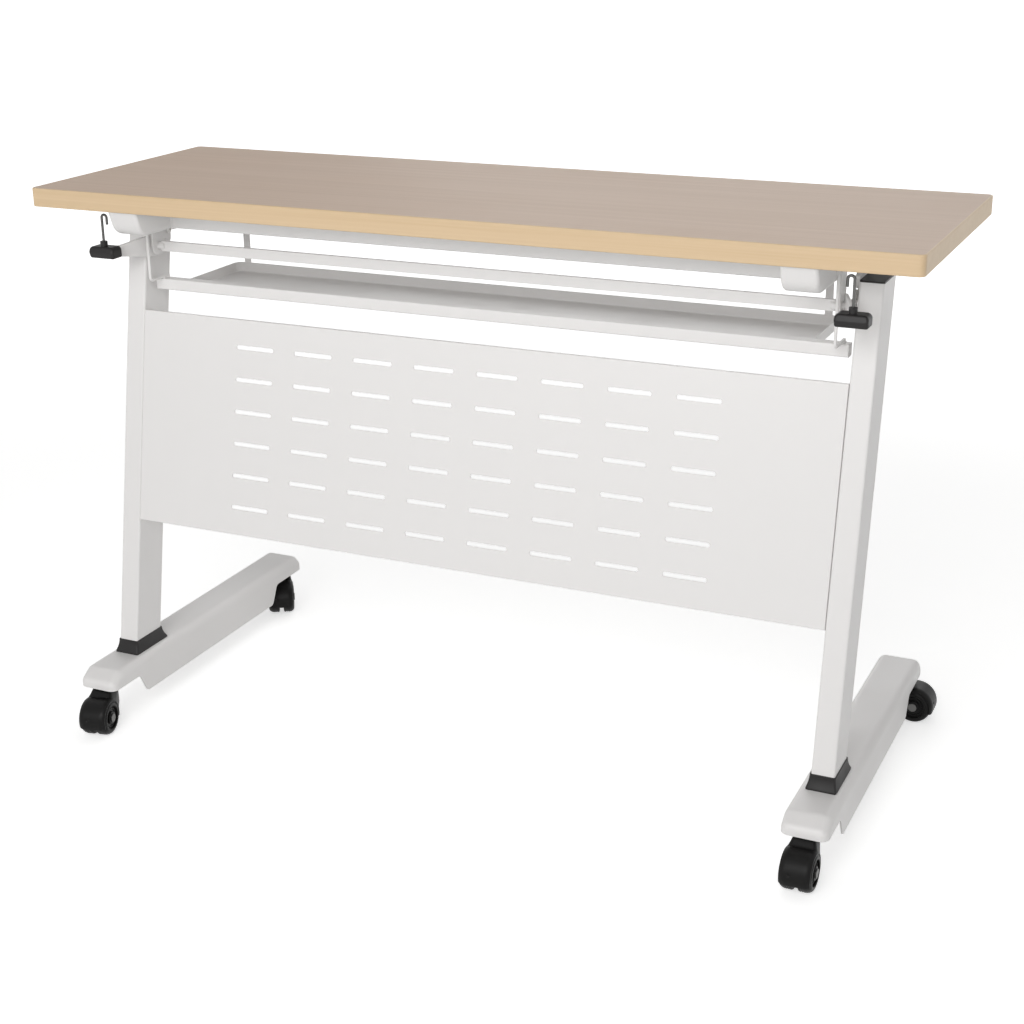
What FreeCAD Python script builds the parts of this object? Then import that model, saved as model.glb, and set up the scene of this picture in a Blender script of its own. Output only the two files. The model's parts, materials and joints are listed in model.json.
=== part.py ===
import FreeCAD, Part
import os
import re
import math
import Sketcher

# Mobile training table: a flip top on two raked posts, with a slotted modesty panel,
# a book shelf that swings with the top, a release lever and four twin-wheel casters.
# Frame: +X along the table, +Y to the user's side, +Z up, origin on the floor in the middle.

SIZES = {
    # Tabletop
    "table_length": 1200,
    "table_depth": 400,
    "table_height": 760,
    "top_thickness": 25,
    "top_front_reach": 170,
    "band_thickness": 2,
    "top_corner_radius": 8,
    "band_round": 1.5,
    # Posts, their caps and collars
    "post_margin": 84,
    "post_width": 30,
    "post_depth": 60,
    "post_wall": 1.5,
    "post_edge_radius": 3,
    "post_top_drop": 62,
    "post_top_reach": 51.58,
    "rake_angle": 10.26,
    "cap_thickness": 2,
    "cap_insert": 15,
    "cap_clearance": 0.2,
    "collar_height": 19,
    "collar_top_margin": 1.5,
    "collar_side_margin": 4.5,
    "collar_front_margin": 4,
    "collar_rear_margin": 12,
    "collar_clearance": 0.2,
    # Feet
    "foot_top_z": 88,
    "foot_length": 515,
    "foot_width": 60,
    "foot_wall": 2,
    "foot_round": 11,
    "foot_end_z": 63,
    "foot_brow_z": 75,
    "foot_skirt_z": 33,
    "foot_nose_run": 21,
    "foot_tail_run": 12,
    "foot_front_shallow": 62,
    "foot_rear_shallow": 79,
    "foot_step_run": 15,
    "skirt_round": 8,
    "plate_length": 80,
    "plate_width": 36,
    "plate_thickness": 6,
    "plate_bolt_pitch": 50,
    "plate_bolt_radius": 4,
    "plate_head_radius": 6.5,
    "plate_head_height": 5,
    # Modesty panel
    "panel_drop": 475,
    "panel_height": 300,
    "panel_sheet": 1.2,
    "panel_lip": 10,
    "panel_flange": 18,
    "panel_side_gap": 0.3,
    "panel_fold": 1,
    "slot_length": 58,
    "slot_height": 5.5,
    "slot_pitch_x": 91,
    "slot_pitch_z": 44.6,
    "slot_bottom_margin": 39,
    "screw_head_radius": 5,
    "screw_head_height": 2.5,
    "panel_screw_margin": 40,
    # Hinge
    "pivot_drop": 43,
    "pivot_radius": 6,
    "pivot_head_radius": 10,
    "pivot_head_height": 3,
    "pivot_tail": 7,
    "running_clearance": 0.05,
    "clip_radius": 10,
    "clip_thickness": 2,
    "bush_radius": 9,
    "bush_flange_radius": 12,
    "bush_flange": 1,
    "ear_thickness": 6,
    "ear_boss_radius": 14,
    "ear_fan_radius": 50,
    "ear_bolt_radius": 3,
    "ear_bolt_head_radius": 5.5,
    "ear_bolt_head_height": 3,
    "ear_bolt_reach": 36,
    "notch_width": 9,
    "notch_depth": 6,
    # Arms and cross beam under the top
    "arm_inset": 57.5,
    "arm_width": 45,
    "arm_height": 34,
    "arm_wall": 1.5,
    "arm_end_margin": 5,
    "arm_nose_run": 12,
    "arm_nose_round": 24,
    "arm_edge_round": 5,
    "arm_flange": 13,
    "arm_flange_sheet": 2,
    "arm_flange_margin": 45,
    "arm_screw_pitch": 130,
    "beam_depth": 40,
    "beam_wall": 1.5,
    "beam_front_reach": 84,
    "beam_round": 3,
    # Shelf
    "rail_inset": 24.5,
    "rail_side": 16,
    "rail_wall": 1.2,
    "rail_front_reach": 51,
    "rail_drop": 154.5,
    "rail_cap": 1.2,
    "rail_round": 2,
    "tray_inset": 69,
    "tray_depth": 123,
    "tray_drop": 154,
    "tray_rim": 15,
    "tray_sheet": 1.2,
    "tray_corner": 12,
    "tray_fold": 3,
    "hanger_radius": 2,
    "hanger_front_reach": 78,
    "hanger_top_drop": 8,
    "hanger_bend": 6,
    "strap_thickness": 2,
    "strap_width": 10,
    "strap_top_drop": 8,
    # Release lever and latch
    "lever_front_reach": 55,
    "lever_drop": 91,
    "lever_inset": 41,
    "lever_height": 14,
    "lever_thickness": 5,
    "crank_root_inset": 28.5,
    "crank_width": 5,
    "journal_radius": 5,
    "journal_inset": 17,
    "bracket_thickness": 3,
    "bracket_width": 26,
    "bracket_top_drop": 4,
    "pawl_thickness": 5,
    "pawl_hub_radius": 9,
    "pawl_nose_width": 7,
    "pawl_gap": 0.5,
    "grip_inset": 1,
    "grip_front_reach": 132,
    "grip_width": 40,
    "grip_depth": 21,
    "grip_height": 16,
    "grip_draft": 3,
    "grip_round": 3.5,
    "grip_shoulder": 6,
    "grip_nub_radius": 5,
    "grip_nub_height": 7,
    "hook_radius": 1.75,
    "hook_bend": 4,
    "hook_stem": 32,
    "hook_tip": 9,
    # Casters
    "caster_margin": 19.5,
    "caster_trail": 28,
    "wheel_radius": 25,
    "wheel_width": 17,
    "wheel_gap": 0.5,
    "wheel_round": 2.5,
    "wheel_rim": 4,
    "wheel_recess": 3.5,
    "wheel_hub_radius": 9,
    "web_thickness": 6,
    "hood_gap": 1,
    "hood_wall": 2,
    "hood_width": 39,
    "hood_round": 4,
    "hood_skirt_z": 16,
    "neck_width": 26,
    "neck_length": 28,
    "neck_top_z": 62.5,
    "neck_bottom_z": 30,
    "neck_round": 5,
    "axle_radius": 3,
    "axle_head_radius": 6,
    "axle_head": 1.2,
    "axle_head_gap": 0.3,
    "stem_radius": 5.5,
    "stem_bottom_z": 40,
    "stem_top_drop": 8,
    "socket_radius": 14,
    "socket_height": 9,
    "socket_strap_length": 16,
    "socket_strap_thickness": 4,
    # One overrun serves every cut
    "overrun": 2,
}

# Which way each caster trails, in degrees from +X
HEADINGS = {
    "left_front": -78,
    "right_front": -90,
    "left_rear": -60,
    "right_rear": 0,
}
SLOT_COLUMNS = 8
SLOT_ROWS = 6
PANEL_SCREWS = 3
ARM_SCREWS = 3
SIDES = {"left": -1, "right": 1}
ENDS = {"front": -1, "rear": 1}

# The ear's fan spans these directions about the pivot, from +Y towards +Z, in degrees
FAN_START = 195
FAN_SPAN = 67
EAR_BOLT_DIRECTIONS = (214, 252)
QUARTER_TURN = 90
HALF_TURN = 180
# The cosine above which two directions count as one
NEARLY = math.cos(math.radians(1))

# Places that several pieces share, worked out from the sizes above
TOP_UNDER = "(table_height - top_thickness)"
POST_TOP = "(table_height - post_top_drop)"
PANEL_BOTTOM = "(table_height - panel_drop)"
PIVOT_Z = "(table_height - pivot_drop)"
RAIL_BOTTOM = "(table_height - rail_drop)"
TRAY_FLOOR = "(table_height - tray_drop)"
LEVER_Z = "(table_height - lever_drop)"
POST_X = "(table_length / 2 - post_margin)"
ARM_X = f"({POST_X} - arm_inset)"
RAIL_HALF = f"({POST_X} - rail_inset)"
TRAY_HALF = f"({POST_X} - tray_inset)"
LEVER_HALF = f"({POST_X} - lever_inset)"
CRANK_ROOT = f"({POST_X} - crank_root_inset)"
JOURNAL_END = f"({POST_X} - journal_inset)"
GRIP_X = f"({POST_X} - grip_inset)"
TRAY_REAR = "(rail_side - rail_front_reach + tray_depth)"
ARM_BOTTOM = "(table_height - top_thickness - arm_height)"
HOOD_RADIUS = "(wheel_radius + hood_gap + hood_wall)"
CASTER_HALF = "(web_thickness / 2 + wheel_gap + wheel_width + axle_head_gap + axle_head)"
# The left front caster, standing a little askew, reaches furthest forward
SKEW = HEADINGS["left_front"] + QUARTER_TURN
HOOD_LENGTHWAYS = f"((caster_trail + {HOOD_RADIUS} - hood_round) * cos({SKEW}))"
HOOD_SIDEWAYS = f"((hood_width / 2 - hood_round) * sin({SKEW}))"
FOOT_MIDDLE = f"(({HOOD_LENGTHWAYS} + {HOOD_SIDEWAYS} + hood_round - {CASTER_HALF}) / 2)"
POST_INNER = f"({POST_X} - post_width / 2)"
ARM_INNER = f"({ARM_X} - arm_width / 2)"
ARM_OUTER = f"({ARM_X} + arm_width / 2)"
TOP_MIDDLE = "(table_depth / 2 - top_front_reach)"
CASTER_REACH = "(foot_length / 2 - caster_margin)"
GRIP_BOTTOM = f"({LEVER_Z} - grip_height / 2 + grip_draft)"
LATCH_SPAN = f"sqrt(lever_front_reach ^ 2 + ({PIVOT_Z} - {LEVER_Z}) ^ 2)"

doc = FreeCAD.newDocument("training_table")
sheet = doc.addObject("Spreadsheet::Sheet", "dims")
for row, (alias, size) in enumerate(SIZES.items(), start=1):
    sheet.set(f"A{row}", alias)
    sheet.set(f"B{row}", str(size))
    sheet.setAlias(f"B{row}", alias)
doc.recompute()

nodes = []


def bound(text):
    """An expression on the sheet's cells, from one in bare size names."""
    return re.sub(r"[A-Za-z_]+", lambda m: "dims." + m[0] if m[0] in SIZES else m[0], str(text))


def post_front(z):
    """Where the posts' raked front face lies at a height."""
    return f"(({z} - {POST_TOP}) * tan(rake_angle) - post_top_reach)"


def place(item, x=0, y=0, z=0, turn=FreeCAD.Rotation()):
    """Put an object at a place bound to the sheet, turned about its own origin."""
    item.Placement = FreeCAD.Placement(FreeCAD.Vector(), turn)
    for axis, text in (("x", x), ("y", y), ("z", z)):
        item.setExpression(f"Placement.Base.{axis}", bound(text))
    return item


def keep(item, label):
    """Name an object as one of the table's pieces."""
    item.Label = label
    nodes.append(item)
    return item


def new_body(name):
    """An empty body for one piece."""
    return doc.addObject("PartDesign::Body", name)


def origin_plane(body, role):
    """One of a body's own origin planes."""
    return next(plane for plane in body.Origin.OriginFeatures if plane.Role == role)


def new_sketch(body, role, lift=0):
    """A sketch on one of the body's own planes, lifted off it along the plane's normal."""
    sketch = body.newObject("Sketcher::SketchObject", "profile")
    sketch.AttachmentSupport = [(origin_plane(body, role), "")]
    sketch.MapMode = "FlatFace"
    sketch.setExpression("AttachmentOffset.Base.z", bound(lift))
    return sketch


def pin_point(sketch, geometry, end, x, y):
    """Hold one point of a sketch at a place bound to the sheet, from where it was drawn."""
    drawn = sketch.getPoint(geometry, end)
    for kind, text, start in (("DistanceX", x, drawn.x), ("DistanceY", y, drawn.y)):
        index = sketch.addConstraint(Sketcher.Constraint(kind, -1, 1, geometry, end, start))
        sketch.setExpression(f"Constraints[{index}]", bound(text))


def outline(body, role, points, lift=0):
    """A closed straight-sided outline through points bound to the sheet."""
    sketch = new_sketch(body, role, lift)
    count = len(points)
    turns = [2 * math.pi * i / count for i in range(count + 1)]
    corners = [FreeCAD.Vector(math.cos(a), math.sin(a), 0) for a in turns]
    for i in range(count):
        sketch.addGeometry(Part.LineSegment(corners[i], corners[i + 1]), False)
    for i in range(count):
        sketch.addConstraint(Sketcher.Constraint("Coincident", i, 2, (i + 1) % count, 1))
    for i, (x, y) in enumerate(points):
        pin_point(sketch, i, 1, x, y)
    return sketch


def rectangle(body, role, low, high, lift=0):
    """A rectangle between two corners bound to the sheet."""
    (x0, y0), (x1, y1) = low, high
    return outline(body, role, [(x0, y0), (x1, y0), (x1, y1), (x0, y1)], lift)


def circles(body, role, places, radius, lift=0):
    """Circles of one radius at places bound to the sheet."""
    sketch = new_sketch(body, role, lift)
    up = FreeCAD.Vector(0, 0, 1)
    for i, (x, y) in enumerate(places):
        sketch.addGeometry(Part.Circle(FreeCAD.Vector(i, 0, 0), up, 1), False)
        pin_point(sketch, i, 3, x, y)
        index = sketch.addConstraint(Sketcher.Constraint("Radius", i, 1.0))
        sketch.setExpression(f"Constraints[{index}]", bound(radius))
    return sketch


def feature(body, kind, sketch, length, both=True, flip=False):
    """A pad or pocket of a sketch, to both sides of its plane or to one."""
    item = body.newObject("PartDesign::" + kind, kind.lower())
    item.Profile = sketch
    item.setExpression("Length", bound(length))
    item.Midplane = both
    item.Reversed = flip
    sketch.Visibility = False
    doc.recompute()
    return item


def pad(body, sketch, length, both=True, flip=False):
    """Add material along the sketch's normal."""
    return feature(body, "Pad", sketch, length, both, flip)


def pocket(body, sketch, length, both=True, flip=False):
    """Cut material away, and make sure that some was there."""
    before = body.Shape.Volume
    item = feature(body, "Pocket", sketch, length, both, flip)
    if not item.Shape.Volume < before:
        raise ValueError(f"a pocket of {body.Label} cuts nothing")
    return item


def round_edges(body, radius, chosen):
    """Fillet the edges of the body's last feature that a test picks."""
    base = body.Tip
    names = [f"Edge{i}" for i, edge in enumerate(base.Shape.Edges, start=1) if chosen(edge)]
    item = body.newObject("PartDesign::Fillet", "round")
    item.Base = (base, names)
    item.setExpression("Radius", bound(radius))
    doc.recompute()
    return item


def shell_out(body, wall, opened):
    """Hollow the body's last feature to a wall, open at the flat faces that a test picks."""
    base = body.Tip
    names = []
    for i, face in enumerate(base.Shape.Faces, start=1):
        if face.Surface.TypeId == "Part::GeomPlane" and opened(face):
            names.append(f"Face{i}")
    item = body.newObject("PartDesign::Thickness", "shell")
    item.Base = (base, names)
    item.setExpression("Value", bound(wall))
    item.Reversed = True
    doc.recompute()
    return item


def runs_along(edge, direction):
    """Whether an edge is straight and parallel to a direction."""
    ends = [vertex.Point for vertex in edge.Vertexes]
    return abs((ends[-1] - ends[0]).dot(direction)) > NEARLY * edge.Length


def primitive(kind, name, **sizes):
    """A Part primitive with its sizes bound to the sheet."""
    item = doc.addObject("Part::" + kind, name)
    for prop, text in sizes.items():
        item.setExpression(prop, bound(text))
    return item


def block(name, low, lengths):
    """A box from its low corner and its lengths, all bound to the sheet."""
    item = primitive("Box", name, Length=lengths[0], Width=lengths[1], Height=lengths[2])
    return place(item, *low)


def rod(name, radius, length, start, turn=FreeCAD.Rotation()):
    """A round rod from its start, along +Z before its turn."""
    item = primitive("Cylinder", name, Radius=radius, Height=length)
    return place(item, *start, turn)


def joined(name, pieces):
    """One solid from pieces that run into each other."""
    item = doc.addObject("Part::MultiFuse", name)
    item.Shapes = pieces
    return item


def cut(name, base, tools):
    """A piece with the shapes of some tools taken out of it."""
    item = doc.addObject("Part::Cut", name)
    item.Base = base
    item.Tool = tools[0] if len(tools) == 1 else joined(name + "_tools", tools)
    return item


def group(label, pieces):
    """Separate solids of one kind, kept together as one node."""
    item = doc.addObject("Part::Compound", label)
    item.Links = pieces
    return keep(item, label)


ALONG_X = FreeCAD.Rotation(FreeCAD.Vector(0, 1, 0), QUARTER_TURN)
ALONG_Y = FreeCAD.Rotation(FreeCAD.Vector(1, 0, 0), -QUARTER_TURN)
X_AXIS = FreeCAD.Vector(1, 0, 0)
Y_AXIS = FreeCAD.Vector(0, 1, 0)
Z_AXIS = FreeCAD.Vector(0, 0, 1)


def make_top():
    """The board, and the band that wraps its edge."""
    board = new_body("tabletop_board")
    place(board, 0, TOP_MIDDLE, TOP_UNDER)
    half_x = "(table_length / 2 - band_thickness)"
    half_y = "(table_depth / 2 - band_thickness)"
    plan = rectangle(board, "XY_Plane", (f"-{half_x}", f"-{half_y}"), (half_x, half_y))
    pad(board, plan, "top_thickness", both=False)
    round_edges(board, "top_corner_radius - band_thickness", lambda e: runs_along(e, Z_AXIS))
    keep(board, "tabletop_board")

    blank = new_body("band_blank")
    place(blank, 0, TOP_MIDDLE, TOP_UNDER)
    low = ("-table_length / 2", "-table_depth / 2")
    plan = rectangle(blank, "XY_Plane", low, ("table_length / 2", "table_depth / 2"))
    pad(blank, plan, "top_thickness", both=False)
    round_edges(blank, "top_corner_radius", lambda e: runs_along(e, Z_AXIS))
    round_edges(blank, "band_round", lambda e: not runs_along(e, Z_AXIS))
    keep(cut("edge_band", blank, [board]), "edge_band")


def make_post(side, sign):
    """A raked rectangular tube, cut level at both ends."""
    body = new_body(f"{side}_post")
    place(body, f"{sign} * {POST_X}")

    def section(inset, over):
        low = f"(foot_top_z - {over})"
        high = f"({POST_TOP} + {over})"
        return [
            (f"{post_front(low)} + {inset}", low),
            (f"{post_front(low)} + post_depth - {inset}", low),
            (f"{post_front(high)} + post_depth - {inset}", high),
            (f"{post_front(high)} + {inset}", high),
        ]

    pad(body, outline(body, "YZ_Plane", section("0", "0")), "post_width")
    round_edges(body, "post_edge_radius", lambda e: e.BoundBox.ZLength > e.BoundBox.XLength)
    pocket(body, outline(body, "YZ_Plane", section("post_wall", "overrun")), "post_width - 2 * post_wall")
    return keep(body, f"{side}_post")


def make_cap(side, sign):
    """The plug that closes a post's top, with a flange as wide as the tube."""
    body = new_body(f"{side}_cap")
    place(body, f"{sign} * {POST_X}")
    low = f"({POST_TOP} - cap_insert)"
    inset = "(post_wall + cap_clearance)"
    plug = [
        (f"{post_front(low)} + {inset}", low),
        (f"{post_front(low)} + post_depth - {inset}", low),
        (f"{post_front(POST_TOP)} + post_depth - {inset}", POST_TOP),
        (f"{post_front(POST_TOP)} + {inset}", POST_TOP),
    ]
    pad(body, outline(body, "YZ_Plane", plug), f"post_width - 2 * {inset}")
    front = post_front(POST_TOP)
    flange = rectangle(
        body, "YZ_Plane", (front, POST_TOP), (f"{front} + post_depth", f"{POST_TOP} + cap_thickness")
    )
    pad(body, flange, "post_width")
    round_edges(body, "post_edge_radius", lambda e: runs_along(e, Z_AXIS))
    return body


def make_collar(side, sign):
    """The flared shroud where a post meets its foot."""
    body = new_body(f"{side}_post_collar")
    place(body, f"{sign} * {POST_X}", 0, "foot_top_z")

    def ring(lift, margin, front, rear):
        face = post_front(f"(foot_top_z + {lift})")
        half = f"(post_width / 2 + {margin})"
        low = (f"-{half}", f"{face} - {front}")
        return rectangle(body, "XY_Plane", low, (half, f"{face} + post_depth + {rear}"), lift)

    flare = body.newObject("PartDesign::AdditiveLoft", "flare")
    flare.Profile = ring("0", "collar_side_margin", "collar_front_margin", "collar_rear_margin")
    margin = "collar_top_margin"
    flare.Sections = [ring("collar_height", margin, margin, margin)]
    flare.Ruled = True
    doc.recompute()
    low = "(foot_top_z - overrun)"
    high = "(foot_top_z + collar_height + overrun)"
    through = [
        (f"{post_front(low)} - collar_clearance", "-overrun"),
        (f"{post_front(low)} + post_depth + collar_clearance", "-overrun"),
        (f"{post_front(high)} + post_depth + collar_clearance", "collar_height + overrun"),
        (f"{post_front(high)} - collar_clearance", "collar_height + overrun"),
    ]
    pocket(body, outline(body, "YZ_Plane", through), "post_width + 2 * collar_clearance")
    keep(body, f"{side}_post_collar")


def foot_hull(name, sign, under, inset, radius):
    """A foot's rounded hull over an underside, drawn in from the outside by an inset."""
    body = new_body(name)
    place(body, f"{sign} * {POST_X}", FOOT_MIDDLE)
    half = f"(foot_length / 2 - {inset})"
    profile = under(half) + [
        (half, f"foot_brow_z - {inset} / 2"),
        (f"foot_length / 2 - foot_tail_run - {inset} / 2", f"foot_top_z - {inset}"),
        (f"foot_nose_run - foot_length / 2 + {inset} / 2", f"foot_top_z - {inset}"),
        (f"-{half}", f"foot_brow_z - {inset} / 2"),
    ]
    pad(body, outline(body, "YZ_Plane", profile), f"foot_width - 2 * {inset}")
    brow = SIZES["foot_brow_z"] - 2 * SIZES["foot_wall"]
    round_edges(body, radius, lambda e: e.BoundBox.ZMax > brow)
    return body


def stepped_under(half):
    """A foot's lower edge: a deep skirt in the middle, cut away over each caster."""
    return [
        (f"-{half}", "foot_end_z"),
        (f"-{half} + foot_front_shallow", "foot_end_z"),
        (f"-{half} + foot_front_shallow + foot_step_run", "foot_skirt_z"),
        (f"{half} - foot_rear_shallow - foot_step_run", "foot_skirt_z"),
        (f"{half} - foot_rear_shallow", "foot_end_z"),
        (half, "foot_end_z"),
    ]


def level_under(half):
    """The lower edge of a foot's hollow, below all of its skirt."""
    return [(f"-{half}", "foot_skirt_z - overrun"), (half, "foot_skirt_z - overrun")]


def is_skirt_corner(edge):
    """Whether an edge crosses a foot's hull at one of the skirt's corners."""
    inside = (SIZES["foot_length"] - SIZES["foot_front_shallow"]) / 2
    low = edge.BoundBox.ZMax < SIZES["foot_brow_z"] - SIZES["foot_wall"]
    return low and runs_along(edge, X_AXIS) and abs(edge.CenterOfMass.y) < inside


def make_foot(side, sign):
    """A pressed cover, open below, with a deep skirt that is cut away over each caster."""
    hull = foot_hull(f"{side}_foot_hull", sign, stepped_under, "0", "foot_round")
    round_edges(hull, "skirt_round", is_skirt_corner)
    hollow = foot_hull(f"{side}_foot_hollow", sign, level_under, "foot_wall", "foot_round - foot_wall")
    keep(cut(f"{side}_foot", hull, [hollow]), f"{side}_foot")


def make_base_fixings():
    """Inside each foot, the plate that the post is bolted to, and its bolts."""
    plates = []
    bolts = []
    top = "(foot_top_z - foot_wall)"
    middle = f"({post_front('foot_top_z')} + post_depth / 2)"
    down = FreeCAD.Rotation(X_AXIS, HALF_TURN)
    for side, sign in SIDES.items():
        x = f"{sign} * {POST_X}"
        low = (f"{x} - plate_width / 2", f"{middle} - plate_length / 2", f"{top} - plate_thickness")
        plate = block(f"{side}_plate", low, ("plate_width", "plate_length", "plate_thickness"))
        holes = []
        for end in ENDS.values():
            y = f"{middle} + {end} * plate_bolt_pitch / 2"
            base = f"{top} - plate_thickness"
            hole = rod("bolt_hole", "plate_bolt_radius + running_clearance", "plate_thickness", (x, y, base))
            holes.append(hole)
            head = rod("bolt_head", "plate_head_radius", "plate_head_height", (x, y, base), down)
            shank = rod("bolt_shank", "plate_bolt_radius", "plate_thickness", (x, y, base))
            bolts.append(joined("base_bolt", [head, shank]))
        plates.append(cut(f"{side}_base_plate", plate, holes))
    group("post_base_plates", plates)
    group("post_base_bolts", bolts)


def make_panel():
    """The slotted sheet between the posts, folded back on all four edges."""
    body = new_body("modesty_panel")
    lean = FreeCAD.Rotation(-X_AXIS, SIZES["rake_angle"])
    place(body, 0, post_front(PANEL_BOTTOM), PANEL_BOTTOM, lean)
    body.setExpression("Placement.Rotation.Angle", bound("rake_angle"))
    half = f"({POST_INNER} - panel_side_gap)"
    inner = f"({half} - panel_sheet)"
    face = rectangle(body, "XZ_Plane", (f"-{half}", "0"), (half, "panel_height"))
    pad(body, face, "panel_sheet", both=False, flip=True)
    folds = [
        ((f"-{half}", "0"), (half, "panel_sheet"), "panel_lip"),
        ((f"-{half}", "panel_height - panel_sheet"), (half, "panel_height"), "panel_lip"),
        ((f"-{half}", "0"), (f"-{inner}", "panel_height"), "panel_flange"),
        ((inner, "0"), (half, "panel_height"), "panel_flange"),
    ]
    for low, high, depth in folds:
        pad(body, rectangle(body, "XZ_Plane", low, high), depth, both=False, flip=True)
    sheet_middle = SIZES["panel_sheet"] / 2
    round_edges(body, "panel_fold", lambda e: e.BoundBox.YMax < sheet_middle)

    first_x = f"(-slot_pitch_x * {SLOT_COLUMNS - 1} / 2)"
    slot = slot_outline(body, first_x, "slot_bottom_margin")
    opening = pocket(body, slot, "2 * panel_sheet + overrun")
    pattern = body.newObject("PartDesign::LinearPattern", "slots")
    pattern.Originals = [opening]
    pattern.Direction = (slot, ["H_Axis"])
    pattern.Occurrences = SLOT_COLUMNS
    pattern.setExpression("Length", bound(f"slot_pitch_x * {SLOT_COLUMNS - 1}"))
    pattern.Direction2 = (slot, ["V_Axis"])
    pattern.Occurrences2 = SLOT_ROWS
    pattern.setExpression("Length2", bound(f"slot_pitch_z * {SLOT_ROWS - 1}"))
    body.Tip = pattern
    doc.recompute()
    keep(body, "modesty_panel")

    screws = []
    depth = "((panel_sheet + panel_flange) / 2)"
    for sign in SIDES.values():
        for i in range(PANEL_SCREWS):
            pitch = f"(panel_height - 2 * panel_screw_margin) / {PANEL_SCREWS - 1}"
            up = f"(panel_screw_margin + {i} * {pitch})"
            x = f"{sign} * ({inner} - screw_head_height / 2) - screw_head_height / 2"
            y = f"{post_front(PANEL_BOTTOM)} + {up} * sin(rake_angle) + {depth} * cos(rake_angle)"
            z = f"{PANEL_BOTTOM} + {up} * cos(rake_angle) - {depth} * sin(rake_angle)"
            screws.append(rod("panel_screw", "screw_head_radius", "screw_head_height", (x, y, z), ALONG_X))
    group("panel_screws", screws)


def slot_outline(body, x, y):
    """A round-ended slot about a place, level along the sketch's own X."""
    sketch = new_sketch(body, "XZ_Plane")
    half = (SIZES["slot_length"] - SIZES["slot_height"]) / 2
    radius = SIZES["slot_height"] / 2
    middle = FreeCAD.Vector(-SIZES["slot_pitch_x"] * (SLOT_COLUMNS - 1) / 2, SIZES["slot_bottom_margin"], 0)
    left = middle - FreeCAD.Vector(half, 0, 0)
    right = middle + FreeCAD.Vector(half, 0, 0)
    rise = FreeCAD.Vector(0, radius, 0)
    quarter = math.pi / 2
    sketch.addGeometry(Part.LineSegment(right + rise, left + rise), False)
    sketch.addGeometry(Part.ArcOfCircle(Part.Circle(left, Z_AXIS, radius), quarter, 3 * quarter), False)
    sketch.addGeometry(Part.LineSegment(left - rise, right - rise), False)
    sketch.addGeometry(Part.ArcOfCircle(Part.Circle(right, Z_AXIS, radius), -quarter, quarter), False)
    for first, second in ((0, 1), (1, 2), (2, 3), (3, 0)):
        sketch.addConstraint(Sketcher.Constraint("Tangent", first, 2, second, 1))
    index = sketch.addConstraint(Sketcher.Constraint("Radius", 1, radius))
    sketch.setExpression(f"Constraints[{index}]", bound("slot_height / 2"))
    reach = "(slot_length - slot_height) / 2"
    pin_point(sketch, 1, 3, f"{x} - {reach}", y)
    pin_point(sketch, 3, 3, f"{x} + {reach}", y)
    return sketch


def make_ear(side, sign):
    """The hinge plate on a post's inner face: a boss for the pivot and a fan with the latch notch."""
    middle = f"({POST_INNER} - ear_thickness / 2)"
    start = f"{sign} * {middle} - ear_thickness / 2"
    turn = FreeCAD.Rotation(X_AXIS, FAN_START + QUARTER_TURN) * ALONG_X
    fan = rod("fan", "ear_fan_radius", "ear_thickness", (start, 0, PIVOT_Z), turn)
    fan.Angle = FAN_SPAN
    boss = rod("boss", "ear_boss_radius", "ear_thickness", (start, 0, PIVOT_Z), ALONG_X)
    bore = rod("bore", "pivot_radius + running_clearance", "ear_thickness", (start, 0, PIVOT_Z), ALONG_X)
    holes = [bore]
    hole_radius = "ear_bolt_radius + running_clearance"
    for y, z in ear_bolt_places():
        holes.append(rod("hole", hole_radius, "ear_thickness", (start, y, z), ALONG_X))
    notch = block("notch", ("0", "0", "0"), ("ear_thickness", "notch_depth + overrun", "notch_width"))
    toward = f"atan2({LEVER_Z} - {PIVOT_Z}; -lever_front_reach)"
    reach = "(ear_fan_radius - notch_depth)"
    lean = FreeCAD.Rotation(X_AXIS, math.degrees(latch_direction()))
    y = f"{reach} * cos({toward}) + notch_width / 2 * sin({toward})"
    z = f"{PIVOT_Z} + {reach} * sin({toward}) - notch_width / 2 * cos({toward})"
    place(notch, start, y, z, lean)
    blank = joined(f"{side}_ear_blank", [fan, boss])
    keep(cut(f"{side}_hinge_ear", blank, holes + [notch]), f"{side}_hinge_ear")


def latch_direction():
    """The direction from the pivot to the lever's axis, about +X from +Y."""
    return math.atan2(SIZES["pivot_drop"] - SIZES["lever_drop"], -SIZES["lever_front_reach"])


def ear_bolt_places():
    """Where an ear's two bolts sit, in the plane of the ear."""
    places = []
    for degrees in EAR_BOLT_DIRECTIONS:
        places.append((f"ear_bolt_reach * cos({degrees})", f"{PIVOT_Z} + ear_bolt_reach * sin({degrees})"))
    return places


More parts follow.
